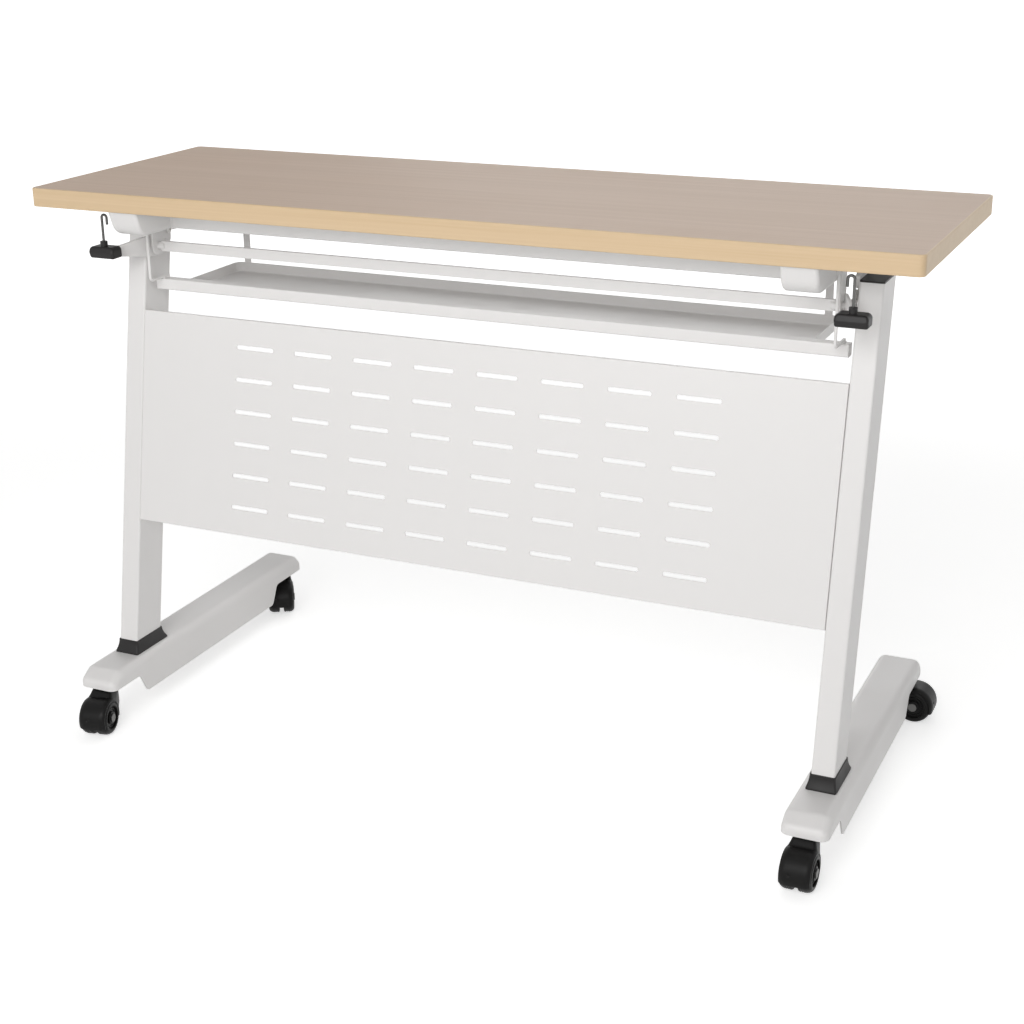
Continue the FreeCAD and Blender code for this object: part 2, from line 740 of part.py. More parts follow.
def make_hinge_fixings():
    """Pivot pins with their clips and bushes, and the bolts that hold the ears."""
    pins = []
    clips = []
    bushes = []
    bolts = []
    for side, sign in SIDES.items():
        tail = f"({ARM_INNER} - pivot_tail)"
        middle = f"({tail} + {POST_INNER}) / 2"
        length = f"({POST_INNER} - {tail})"
        pivot = ("0", PIVOT_Z)
        shank = x_rod("shank", "pivot_radius", length, f"{sign} * {middle}", *pivot)
        head_x = f"{sign} * ({POST_INNER} + pivot_head_height / 2)"
        head = x_rod("head", "pivot_head_radius", "pivot_head_height", head_x, *pivot)
        pins.append(joined(f"{side}_pin", [shank, head]))

        clip_x = f"{sign} * ({ARM_INNER} - bush_flange - running_clearance - clip_thickness / 2)"
        ring = x_rod("ring", "clip_radius", "clip_thickness", clip_x, *pivot)
        hole = x_rod("hole", "pivot_radius + running_clearance", "clip_thickness + overrun", clip_x, *pivot)
        clips.append(cut(f"{side}_clip", ring, [hole]))

        arm_x = f"{sign} * {ARM_X}"
        sleeve = x_rod("sleeve", "bush_radius", "arm_width", arm_x, *pivot)
        flanges = []
        for end in ENDS.values():
            flange_x = f"{arm_x} + {end} * (arm_width + bush_flange) / 2"
            flanges.append(x_rod("flange", "bush_flange_radius", "bush_flange", flange_x, *pivot))
        bore_length = "arm_width + 2 * bush_flange + overrun"
        bore = x_rod("bore", "pivot_radius + running_clearance", bore_length, arm_x, *pivot)
        bushes.append(cut(f"{side}_bush", joined(f"{side}_bush_blank", [sleeve] + flanges), [bore]))

        for y, z in ear_bolt_places():
            shank_x = f"{sign} * ({POST_INNER} - ear_thickness / 2)"
            bolt_shank = x_rod("bolt_shank", "ear_bolt_radius", "ear_thickness", shank_x, y, z)
            bolt_x = f"{sign} * ({POST_INNER} - ear_thickness - ear_bolt_head_height / 2)"
            bolt_head = x_rod("bolt_head", "ear_bolt_head_radius", "ear_bolt_head_height", bolt_x, y, z)
            bolts.append(joined("ear_bolt", [bolt_head, bolt_shank]))
    group("pivot_pins", pins)
    group("pivot_clips", clips)
    group("pivot_bushes", bushes)
    group("ear_bolts", bolts)


def x_rod(name, radius, length, x, y, z):
    """A round rod along X, given by its middle."""
    return rod(name, radius, length, (f"{x} - ({length}) / 2", y, z), ALONG_X)


def make_arm(side, sign):
    """A boat-shaped channel under the top, with a flange along its outer side."""
    body = new_body(f"{side}_arm")
    place(body, f"{sign} * {ARM_X}", TOP_MIDDLE, TOP_UNDER)
    half = "(table_depth / 2 - arm_end_margin)"
    hull = [
        (f"-{half}", "0"),
        (f"-{half} + arm_nose_run", "-arm_height"),
        (f"{half} - arm_nose_run", "-arm_height"),
        (half, "0"),
    ]
    pad(body, outline(body, "YZ_Plane", hull), "arm_width")
    round_edges(body, "arm_nose_round", lambda e: runs_along(e, X_AXIS) and not level_top(e))
    round_edges(body, "arm_edge_round", lambda e: not runs_along(e, X_AXIS) and not level_top(e))
    shell_out(body, "arm_wall", lambda f: f.normalAt(0, 0).z > NEARLY)
    edge = f"({half} - arm_flange_margin)"
    inner = f"{sign} * (arm_width / 2 - arm_wall)"
    outer = f"{sign} * (arm_width / 2 + arm_flange)"
    wing = rectangle(body, "XY_Plane", (inner, f"-{edge}"), (outer, edge))
    pad(body, wing, "arm_flange_sheet", both=False, flip=True)
    pivot = [(f"-{TOP_MIDDLE}", f"{PIVOT_Z} - {TOP_UNDER}")]
    pocket(body, circles(body, "YZ_Plane", pivot, "bush_radius + running_clearance"), "arm_width + overrun")
    keep(body, f"{side}_arm")


def level_top(edge):
    """Whether an edge lies in the arm's open top."""
    return edge.BoundBox.ZMin > -SIZES["arm_edge_round"]


def make_under_frame():
    """The cross beam between the arms, and the screws that hold the arms to the board."""
    body = new_body("cross_beam")
    place(body, 0, "-beam_front_reach", ARM_BOTTOM)
    high = ("beam_depth", "arm_height")
    pad(body, rectangle(body, "YZ_Plane", ("0", "0"), high), f"2 * {ARM_INNER}")
    round_edges(body, "beam_round", lambda e: runs_along(e, X_AXIS))
    bore = ("beam_depth - beam_wall", "arm_height - beam_wall")
    hollow = rectangle(body, "YZ_Plane", ("beam_wall", "beam_wall"), bore)
    pocket(body, hollow, f"2 * {ARM_INNER} + overrun")
    keep(body, "cross_beam")

    screws = []
    for sign in SIDES.values():
        x = f"{sign} * ({ARM_X} + (arm_width + arm_flange) / 2)"
        for i in range(ARM_SCREWS):
            y = f"{TOP_MIDDLE} + ({i} - {(ARM_SCREWS - 1) / 2}) * arm_screw_pitch"
            z = f"{TOP_UNDER} - arm_flange_sheet - screw_head_height"
            screws.append(rod("arm_screw", "screw_head_radius", "screw_head_height", (x, y, z)))
    group("arm_screws", screws)


def rail_bar(name, x, length):
    """A length of the rail's rounded square section about a place."""
    body = new_body(name)
    place(body, x, "-rail_front_reach", RAIL_BOTTOM)
    pad(body, rectangle(body, "YZ_Plane", ("0", "0"), ("rail_side", "rail_side")), length)
    round_edges(body, "rail_round", lambda e: runs_along(e, X_AXIS))
    return body


def make_shelf():
    """The front rail and its end caps, and the tray behind it."""
    rail = rail_bar("shelf_rail", "0", f"2 * {RAIL_HALF}")
    bore = "rail_side - rail_wall"
    hollow = rectangle(rail, "YZ_Plane", ("rail_wall", "rail_wall"), (bore, bore))
    pocket(rail, hollow, f"2 * {RAIL_HALF} + overrun")
    keep(rail, "shelf_rail")

    caps = []
    for sign in SIDES.values():
        caps.append(rail_bar("rail_cap_plate", f"{sign} * ({RAIL_HALF} + rail_cap / 2)", "rail_cap"))
    group("rail_end_caps", caps)

    tray = new_body("shelf_tray")
    place(tray, 0, "rail_side - rail_front_reach", TRAY_FLOOR)
    low = (f"-{TRAY_HALF}", "0")
    pad(tray, rectangle(tray, "XY_Plane", low, (TRAY_HALF, "tray_depth")), "tray_rim", both=False)
    front = SIZES["tray_corner"]
    round_edges(tray, "tray_corner", lambda e: runs_along(e, Z_AXIS) and e.CenterOfMass.y > front)
    round_edges(tray, "tray_fold", under_edge)
    shell_out(tray, "tray_sheet", lambda f: f.normalAt(0, 0).z > NEARLY or f.normalAt(0, 0).y < -NEARLY)
    keep(tray, "shelf_tray")


def under_edge(edge):
    """Whether an edge of the tray's blank lies along the foot of a rim, and not along the open front."""
    fold = SIZES["tray_fold"]
    return edge.BoundBox.ZMax < fold and edge.CenterOfMass.y > fold


def make_front_hanger(side, sign):
    """A bent wire from an arm's outer face down to the top of the rail."""
    x = f"{sign} * ({ARM_OUTER} + hanger_radius)"
    y = "-hanger_front_reach"
    level = f"({RAIL_BOTTOM} + rail_side + hanger_radius)"
    top = f"({TOP_UNDER} - hanger_top_drop)"
    drop = rod("drop", "hanger_radius", f"{top} - {level} - hanger_bend", (x, y, f"{level} + hanger_bend"))
    foot_y = f"({y} + hanger_bend)"
    foot_length = f"rail_side - rail_front_reach - {foot_y}"
    foot = rod("foot", "hanger_radius", foot_length, (x, foot_y, level), ALONG_Y)
    bend = primitive("Torus", "bend", Radius1="hanger_bend", Radius2="hanger_radius")
    bend.Angle3 = QUARTER_TURN
    place(bend, x, foot_y, f"{level} + hanger_bend", FreeCAD.Rotation(X_AXIS, -QUARTER_TURN) * ALONG_X)
    keep(joined(f"{side}_front_hanger", [drop, bend, foot]), f"{side}_front_hanger")


def make_rear_strap(side, sign):
    """A flat strap that hangs by its edge from an arm's inner face, and holds the tray's rear rim."""
    body = new_body(f"{side}_rear_strap")
    low = f"({TRAY_FLOOR} + tray_fold)"
    place(body, f"{sign} * {ARM_INNER}", f"{TRAY_REAR} + strap_thickness / 2", low)
    top = f"{TOP_UNDER} - strap_top_drop - {low}"
    hang = rectangle(body, "XZ_Plane", ("0", "0"), (f"-{sign} * strap_width", top))
    pad(body, hang, "strap_thickness")
    keep(body, f"{side}_rear_strap")


def make_latch_bracket(side, sign):
    """The plate on an arm's outer face that carries one end of the release bar."""
    body = new_body(f"{side}_latch_bracket")
    place(body, f"{sign} * ({ARM_OUTER} + bracket_thickness / 2)", "-lever_front_reach", LEVER_Z)
    half = "bracket_width / 2"
    top = f"{TOP_UNDER} - bracket_top_drop - {LEVER_Z}"
    pad(body, rectangle(body, "YZ_Plane", (f"-{half}", "0"), (half, top)), "bracket_thickness")
    pad(body, circles(body, "YZ_Plane", [("0", "0")], half), "bracket_thickness")
    bore = circles(body, "YZ_Plane", [("0", "0")], "journal_radius + running_clearance")
    pocket(body, bore, "bracket_thickness + overrun")
    keep(body, f"{side}_latch_bracket")


def make_release_bar():
    """The flat bar across the table, with a round journal at each end."""
    low = (f"-{LEVER_HALF}", "-lever_front_reach - lever_thickness / 2", f"{LEVER_Z} - lever_height / 2")
    bar = block("bar", low, (f"2 * {LEVER_HALF}", "lever_thickness", "lever_height"))
    journals = []
    length = f"({JOURNAL_END} - {LEVER_HALF} + lever_thickness)"
    for sign in SIDES.values():
        x = f"{sign} * ({JOURNAL_END} - {length} / 2)"
        journals.append(x_rod("journal", "journal_radius", length, x, "-lever_front_reach", LEVER_Z))
    keep(joined("release_bar", [bar] + journals), "release_bar")


def make_release_arm(side, sign):
    """The flat crank from the bar's end out and forward to a handle."""
    body = new_body(f"{side}_release_arm")
    place(body, 0, 0, LEVER_Z)
    root = "-lever_front_reach"
    tip = "(grip_depth / 2 - grip_front_reach)"
    half = "(crank_width / 2)"
    plan = [
        (f"{sign} * ({CRANK_ROOT} + {half})", root),
        (f"{sign} * ({CRANK_ROOT} - {half})", root),
        (f"{sign} * ({GRIP_X} - {half})", tip),
        (f"{sign} * ({GRIP_X} + {half})", tip),
    ]
    pad(body, outline(body, "XY_Plane", plan), "lever_height")
    seat = circles(body, "YZ_Plane", [(root, "0")], "journal_radius + running_clearance")
    pocket(body, seat, f"2 * {JOURNAL_END} + overrun")
    keep(body, f"{side}_release_arm")


def make_handle(side, sign):
    """A moulded grip on the crank's end, with a nub that holds the hook wire."""
    body = new_body(f"{side}_handle")
    place(body, f"{sign} * {GRIP_X}", "-grip_front_reach", GRIP_BOTTOM)
    half = "grip_depth / 2"
    section = [
        (f"-{half} + grip_draft", "0"),
        (half, "0"),
        (half, "grip_height"),
        (f"-{half} + grip_draft", "grip_height"),
        (f"-{half}", "grip_height / 2"),
    ]
    pad(body, outline(body, "YZ_Plane", section), "grip_width")
    round_edges(body, "grip_shoulder", lambda e: runs_along(e, Y_AXIS) and e.BoundBox.ZMin > 0)
    back = SIZES["grip_depth"] / 2
    round_edges(body, "grip_round", lambda e: e.BoundBox.YMin < back - SIZES["grip_draft"])
    nub = circles(body, "XY_Plane", [("0", "0")], "grip_nub_radius", "grip_height - grip_round")
    pad(body, nub, "grip_nub_height + grip_round", both=False)
    keep(body, f"{side}_handle")


def make_hook_wires():
    """The wire that rises from each handle and hooks over, inwards."""
    wires = []
    for sign in SIDES.values():
        x = f"{sign} * {GRIP_X}"
        foot = f"{GRIP_BOTTOM} + grip_height + grip_nub_height"
        top = f"{foot} + hook_stem"
        y = "-grip_front_reach"
        stem = rod("stem", "hook_radius", "hook_stem", (x, y, foot))
        bend = primitive("Torus", "bend", Radius1="hook_bend", Radius2="hook_radius")
        bend.Angle3 = HALF_TURN
        inner_x = f"{sign} * ({GRIP_X} - hook_bend)"
        place(bend, inner_x, y, top, FreeCAD.Rotation(X_AXIS, QUARTER_TURN))
        tip_x = f"{sign} * ({GRIP_X} - 2 * hook_bend)"
        tip = rod("tip", "hook_radius", "hook_tip", (tip_x, y, f"{top} - hook_tip"))
        wires.append(joined("hook_wire", [stem, bend, tip]))
    group("hook_wires", wires)


def make_pawl(side, sign):
    """The latch pawl on a journal's end, whose nose points at the ear's notch."""
    x = f"{sign} * ({JOURNAL_END} - pawl_thickness / 2)"
    hub = x_rod("hub", "pawl_hub_radius", "pawl_thickness", x, "-lever_front_reach", LEVER_Z)
    length = f"({LATCH_SPAN} - ear_fan_radius - pawl_gap)"
    nose = block("nose", ("0", "0", "0"), ("pawl_thickness", length, "pawl_nose_width"))
    toward = f"atan2({PIVOT_Z} - {LEVER_Z}; lever_front_reach)"
    lean = FreeCAD.Rotation(X_AXIS, math.degrees(latch_direction()) + HALF_TURN)
    y = f"pawl_nose_width / 2 * sin({toward}) - lever_front_reach"
    z = f"{LEVER_Z} - pawl_nose_width / 2 * cos({toward})"
    place(nose, f"{x} - pawl_thickness / 2", y, z, lean)
    radius = "journal_radius + running_clearance"
    bore = x_rod("bore", radius, "pawl_thickness + overrun", x, "-lever_front_reach", LEVER_Z)
    pawl = cut(f"{side}_latch_pawl", joined(f"{side}_pawl_blank", [hub, nose]), [bore])
    keep(pawl, f"{side}_latch_pawl")


def make_casters():
    """Four twin-wheel casters, each turned as it was left standing."""
    sockets = []
    stems = []
    for side, sign in SIDES.items():
        for end, way in ENDS.items():
            name = f"{side}_{end}"
            heading = HEADINGS[name]
            x = f"({sign} * {POST_X})"
            y = f"({FOOT_MIDDLE} + {way} * {CASTER_REACH})"
            turn = FreeCAD.Rotation(Z_AXIS, heading)
            make_hood(name, x, y, turn)
            wheel_x = f"{x} + caster_trail * cos({heading})"
            wheel_y = f"{y} + caster_trail * sin({heading})"
            make_axle(name, wheel_x, wheel_y, turn)
            for wheel, half_turn in (("wheel_a", 0), ("wheel_b", HALF_TURN)):
                facing = FreeCAD.Rotation(Z_AXIS, heading + half_turn)
                make_wheel(f"{name}_{wheel}", wheel_x, wheel_y, facing)
            tube = rod("tube", "socket_radius", "socket_height", (x, y, "foot_end_z"))
            inside = "(foot_width - 2 * foot_wall)"
            low = (f"{x} - {inside} / 2", f"{y} - socket_strap_length / 2", "foot_end_z")
            strap = block("strap", low, (inside, "socket_strap_length", "socket_strap_thickness"))
            hole = rod("hole", "stem_radius + running_clearance", "socket_height", (x, y, "foot_end_z"))
            sockets.append(cut(f"{name}_socket", joined(f"{name}_socket_blank", [tube, strap]), [hole]))
            height = "foot_top_z - foot_wall - stem_top_drop - stem_bottom_z"
            stems.append(rod(f"{name}_stem", "stem_radius", height, (x, y, "stem_bottom_z")))
    group("caster_sockets", sockets)
    group("caster_stems", stems)


def make_hood(name, x, y, turn):
    """A caster's hood: a neck over the stem, and a cover over both wheels with a web between them."""
    body = new_body(f"{name}_hood")
    place(body, x, y, 0, turn)
    axle = [("caster_trail", "wheel_radius")]
    pad(body, circles(body, "XZ_Plane", axle, HOOD_RADIUS), "hood_width")
    round_edges(body, "hood_round", lambda e: e.Curve.TypeId == "Part::GeomCircle")
    low = ("-neck_length / 2", "neck_bottom_z")
    pad(body, rectangle(body, "XZ_Plane", low, ("neck_length / 2", "neck_top_z")), "neck_width")
    swivel = -SIZES["neck_length"] / 2
    round_edges(body, "neck_round", lambda e: e.BoundBox.XMax < swivel / 2)
    room = "wheel_radius + hood_gap"
    for way in SIDES.values():
        lift = f"{way} * web_thickness / 2"
        hollow = circles(body, "XZ_Plane", axle, room, lift)
        pocket(body, hollow, "hood_width", both=False, flip=way > 0)
    skirt = rectangle(
        body, "XZ_Plane", ("-caster_trail", "-wheel_radius"), ("3 * caster_trail", "hood_skirt_z")
    )
    pocket(body, skirt, "hood_width + overrun")
    eye = circles(body, "XZ_Plane", axle, "axle_radius + running_clearance")
    pocket(body, eye, "hood_width")
    bore = circles(body, "XY_Plane", [("0", "0")], "stem_radius + running_clearance", "neck_top_z + overrun")
    pocket(body, bore, "neck_top_z + overrun - stem_bottom_z + overrun", both=False)
    keep(body, f"{name}_hood")


def spun(name, points, x, y, turn):
    """A turned piece about an axle along its own Y, from its half section."""
    body = new_body(name)
    place(body, x, y, "wheel_radius", turn)
    sketch = outline(body, "XY_Plane", points)
    item = body.newObject("PartDesign::Revolution", "turned")
    item.Profile = sketch
    item.ReferenceAxis = (sketch, ["V_Axis"])
    doc.recompute()
    return body


def make_axle(name, x, y, turn):
    """The pin through the web, with a head outside each wheel."""
    seat = "(web_thickness / 2 + wheel_gap + wheel_width + axle_head_gap)"
    points = [
        ("0", f"-{seat} - axle_head"),
        ("axle_head_radius", f"-{seat} - axle_head"),
        ("axle_head_radius", f"-{seat}"),
        ("axle_radius", f"-{seat}"),
        ("axle_radius", seat),
        ("axle_head_radius", seat),
        ("axle_head_radius", f"{seat} + axle_head"),
        ("0", f"{seat} + axle_head"),
    ]
    keep(spun(f"{name}_axle", points, x, y, turn), f"{name}_axle")


def make_wheel(name, x, y, turn):
    """A moulded wheel with a rounded tread and a dished outer face about its hub."""
    inner = "(web_thickness / 2 + wheel_gap)"
    outer = f"({inner} + wheel_width)"
    bore = "axle_radius + running_clearance"
    points = [
        (bore, inner),
        ("wheel_radius", inner),
        ("wheel_radius", outer),
        ("wheel_radius - wheel_rim", outer),
        ("wheel_radius - wheel_rim", f"{outer} - wheel_recess"),
        ("wheel_hub_radius", f"{outer} - wheel_recess"),
        ("wheel_hub_radius", outer),
        (bore, outer),
    ]
    body = spun(name, points, x, y, turn)
    tread = SIZES["wheel_radius"] - SIZES["wheel_round"]
    round_edges(body, "wheel_round", lambda e: is_ring(e) and e.Curve.Radius > tread)
    keep(body, name)


def is_ring(edge):
    """Whether an edge is part of a circle."""
    return edge.Curve.TypeId == "Part::GeomCircle"


make_top()
caps = []
for side, sign in SIDES.items():
    make_post(side, sign)
    caps.append(make_cap(side, sign))
    make_collar(side, sign)
    make_foot(side, sign)
    make_ear(side, sign)
    make_arm(side, sign)
    make_front_hanger(side, sign)
    make_rear_strap(side, sign)
    make_latch_bracket(side, sign)
    make_release_arm(side, sign)
    make_handle(side, sign)
    make_pawl(side, sign)
group("post_top_caps", caps)
make_base_fixings()
make_panel()
make_hinge_fixings()
make_under_frame()
make_shelf()
make_release_bar()
make_hook_wires()
make_casters()

doc.recompute()
failed = []
for item in doc.Objects:
    if "Invalid" in item.State or "Error" in item.State:
        owner = item.getParentGeoFeatureGroup() or item
        failed.append(f"{owner.Label} {item.Name}")
for item in nodes:
    if item.Shape.isNull() or not item.Shape.isValid():
        failed.append(item.Label + " shape")
if failed:
    raise ValueError("failed: " + ", ".join(failed))

os.makedirs("parts", exist_ok=True)
for item in nodes:
    item.Shape.exportStep(os.path.join("parts", item.Label + ".step"))
    print(item.Label, len(item.Shape.Solids), round(item.Shape.Volume))
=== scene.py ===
"""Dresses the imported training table: finishes for every piece, small hardware, light and camera.

Lengths are metres in the table's own frame: +X along the top, +Y towards the user, +Z up.
"""

import json
import logging
import math
from dataclasses import dataclass
from enum import Enum
from typing import Sequence

import bmesh
import bpy
from mathutils import Matrix, Vector


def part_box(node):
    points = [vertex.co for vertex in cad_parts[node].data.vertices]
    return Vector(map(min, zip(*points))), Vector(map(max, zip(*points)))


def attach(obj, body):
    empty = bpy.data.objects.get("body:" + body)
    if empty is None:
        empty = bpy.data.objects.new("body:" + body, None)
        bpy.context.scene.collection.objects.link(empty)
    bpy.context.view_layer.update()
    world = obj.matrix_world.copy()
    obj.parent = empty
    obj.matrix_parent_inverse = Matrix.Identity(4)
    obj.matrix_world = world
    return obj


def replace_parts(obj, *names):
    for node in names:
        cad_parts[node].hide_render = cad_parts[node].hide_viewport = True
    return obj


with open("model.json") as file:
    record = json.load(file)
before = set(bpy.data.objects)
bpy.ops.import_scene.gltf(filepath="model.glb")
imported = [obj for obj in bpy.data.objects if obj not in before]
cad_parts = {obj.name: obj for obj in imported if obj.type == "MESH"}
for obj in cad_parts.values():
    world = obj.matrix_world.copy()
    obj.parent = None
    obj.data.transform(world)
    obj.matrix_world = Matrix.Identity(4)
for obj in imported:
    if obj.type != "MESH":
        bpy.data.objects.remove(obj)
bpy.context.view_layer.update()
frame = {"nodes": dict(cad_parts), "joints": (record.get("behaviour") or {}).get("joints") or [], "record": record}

Triple = tuple[float, float, float]
Band = tuple[float, float]
Points = list[tuple[float, float]]
Shape = bmesh.types.BMesh
Loop = list[bmesh.types.BMVert]
Node = bpy.types.Node
Socket = bpy.types.NodeSocket
Look = tuple[Socket, Socket, Socket]
Material = bpy.types.Material

SIDES = ("left", "right")
UP = Vector((0.0, 0.0, 1.0))
DOWN = Vector((0.0, 0.0, -1.0))
QUAD = 4
QUARTER_TURN = math.pi / 2.0
# Points of the CAD model that agree to this many decimals of a metre are the same.
SAME_PLACES = 5
# Corners closer than this are joined after a cut.
WELD_GAP = 0.00003
# A Mix node's colour sockets share their names with its other kinds, so they go by number.
MIX_SHARE, MIX_FIRST, MIX_SECOND, MIX_RESULT = 0, 6, 7, 2
log = logging.getLogger("training_table")


@dataclass(frozen=True)
class Noise:
    """One noise: features to the metre, octaves, how much the fine ones count, and a stretch by axis."""

    scale: float = 1.0
    octaves: float = 2.0
    fineness: float = 0.5
    stretch: Triple | None = None


class Tree:
    """Adds nodes to one shader tree and joins their sockets."""

    def __init__(self, tree: bpy.types.NodeTree) -> None:
        """Keeps the tree that the nodes go into."""
        self.tree = tree

    def find(self, kind: str) -> Node:
        """The tree's first node of a type."""
        return next(node for node in self.tree.nodes if node.type == kind)

    def add(self, kind: str, settings: dict[str, object] | None = None, **inputs: object) -> Node:
        """Adds a node and fills its inputs.

        Args:
            kind: the node's type, without the ShaderNode prefix.
            settings: properties of the node itself.
            inputs: values or output sockets, by the input's name with spaces as underscores.

        Returns:
            The new node.
        """
        node = self.tree.nodes.new("ShaderNode" + kind)
        for name, value in (settings or {}).items():
            setattr(node, name, value)
        self.fill(node, **inputs)
        return node

    def fill(self, node: Node, **inputs: object) -> None:
        """Feeds some of a node's inputs, by name with spaces as underscores."""
        for name, value in inputs.items():
            self.feed(node.inputs[name.replace("_", " ")], value)

    def feed(self, socket: Socket, value: object) -> None:
        """Links an output socket to an input, or sets the input's own value.

        Args:
            socket: the input.
            value: an output socket, a number, a vector or a colour without alpha.
        """
        if isinstance(value, Socket):
            self.tree.links.new(value, socket)
        elif socket.type == "RGBA":
            socket.default_value = (*value, 1.0)
        else:
            socket.default_value = value

    def math(self, operation: str, first: object, second: object = 0.0) -> Socket:
        """Does one sum on two values or sockets.

        Args:
            operation: Blender's name for the sum.
            first: the first value or socket.
            second: the second value or socket.

        Returns:
            The result's socket.
        """
        node = self.add("Math", {"operation": operation})
        for socket, value in zip(node.inputs, (first, second)):
            self.feed(socket, value)
        return node.outputs[0]

    def ramp(self, value: Socket, band: Band, start: float = 0.0, end: float = 1.0) -> Socket:
        """Maps a band of values smoothly to another, and holds it beyond.

        Args:
            value: the socket to map.
            band: the values that become start and end.
            start: the result at the band's low end.
            end: the result at its high end.

        Returns:
            The mapped socket.
        """
        low, high = band
        limits = {"From_Min": low, "From_Max": high, "To_Min": start, "To_Max": end}
        node = self.add("MapRange", {"interpolation_type": "SMOOTHSTEP"}, Value=value, **limits)
        return node.outputs["Result"]

    def blend(self, share: Socket, first: object, second: object) -> Socket:
        """Mixes two colours.

        Args:
            share: how much of the second colour shows.
            first: a colour or a socket.
            second: a colour or a socket.

        Returns:
            The mixed colour's socket.
        """
        node = self.add("Mix", {"data_type": "RGBA"})
        for i, value in ((MIX_SHARE, share), (MIX_FIRST, first), (MIX_SECOND, second)):
            self.feed(node.inputs[i], value)
        return node.outputs[MIX_RESULT]

    def tint(self, colour: object, other: object, mask: Socket, share: float) -> Socket:
        """Mixes a share of another colour into one, where a mask shows."""
        return self.blend(self.math("MULTIPLY", mask, share), colour, other)

    def noise(self, place: Socket, kind: Noise, scale: Socket | None = None) -> Socket:
        """A noise value at a place.

        Args:
            place: the socket that holds the place.
            kind: the noise.
            scale: a socket that stands in for the noise's own scale.

        Returns:
            The noise value's socket.
        """
        if kind.stretch:
            place = self.add("Mapping", Vector=place, Scale=kind.stretch).outputs["Vector"]
        node = self.add("TexNoise", Vector=place, Detail=kind.octaves, Roughness=kind.fineness)
        self.feed(node.inputs["Scale"], kind.scale if scale is None else scale)
        return node.outputs["Fac"]


class Effect:
    """A shader group that several finishes share."""

    name = "effect"
    inputs: tuple[tuple[str, float], ...] = ()
    outputs: tuple[tuple[str, str], ...] = ()

    def wire(self, tree: Tree, given: dict[str, Socket]) -> dict[str, Socket]:
        """Builds the group's nodes.

        Args:
            tree: the group's tree.
            given: the group's inputs by name.

        Returns:
            A socket for each of the group's outputs, by name.
        """
        raise NotImplementedError

    def group(self) -> bpy.types.NodeTree:
        """Builds the group once and gives the same one after that.

        Returns:
            The group's tree.
        """
        made = bpy.data.node_groups.get(self.name)
        if made:
            return made
        made = bpy.data.node_groups.new(self.name, "ShaderNodeTree")
        for name, value in self.inputs:
            socket = made.interface.new_socket(name, in_out="INPUT", socket_type="NodeSocketFloat")
            socket.default_value = value
        for name, kind in self.outputs:
            made.interface.new_socket(name, in_out="OUTPUT", socket_type="NodeSocket" + kind)
        entry = made.nodes.new("NodeGroupInput")
        leave = made.nodes.new("NodeGroupOutput")
        given = {name: entry.outputs[name] for name, _ in self.inputs}
        for name, socket in self.wire(Tree(made), given).items():
            made.links.new(socket, leave.inputs[name])
        return made

    def put(self, tree: Tree, **values: float) -> bpy.types.NodeOutputs:
        """Places the group in a material with its own values, and gives the outputs of its node."""
        return tree.add("Group", {"node_tree": self.group()}, **values).outputs


class SoftEdges(Effect):
    """Rounds the light on sharp arrises, and finds them for wear."""

    name = "soft_edges"
    inputs = (("Radius", 0.001),)
    outputs = (("Normal", "Vector"), ("Edge", "Float"))
    bevel_samples = 6
    sharp_cosines = (0.72, 1.0)

    def wire(self, tree: Tree, given: dict[str, Socket]) -> dict[str, Socket]:
        """Compares the rounded normal with the true one.

        Args:
            tree: the group's tree.
            given: the rounding's radius.

        Returns:
            The rounded normal and the mask of arrises.
        """
        bevel = tree.add("Bevel", {"samples": self.bevel_samples}, Radius=given["Radius"]).outputs["Normal"]
        facing = tree.add("NewGeometry").outputs["Normal"]
        dot = tree.add("VectorMath", {"operation": "DOT_PRODUCT"})
        for socket, value in zip(dot.inputs, (bevel, facing)):
            tree.feed(socket, value)
        return {"Normal": bevel, "Edge": tree.ramp(dot.outputs["Value"], self.sharp_cosines, 1.0, 0.0)}


class OrangePeel(Effect):
    """The slight waviness and mottling of sprayed and moulded skins."""

    name = "orange_peel"
    inputs = (("Scale", 700.0),)
    outputs = (("Height", "Float"), ("Mottle", "Float"))
    skin = Noise()
    cloud = Noise(9.0, 3.0, 0.55)

    def wire(self, tree: Tree, given: dict[str, Socket]) -> dict[str, Socket]:
        """Lays fine noise for the skin and wide noise for its colour.

        Args:
            tree: the group's tree.
            given: the skin's scale.

        Returns:
            The skin's height and the mottle.
        """
        place = tree.add("TexCoord").outputs["Object"]
        height = tree.noise(place, self.skin, given["Scale"])
        return {"Height": height, "Mottle": tree.noise(place, self.cloud)}


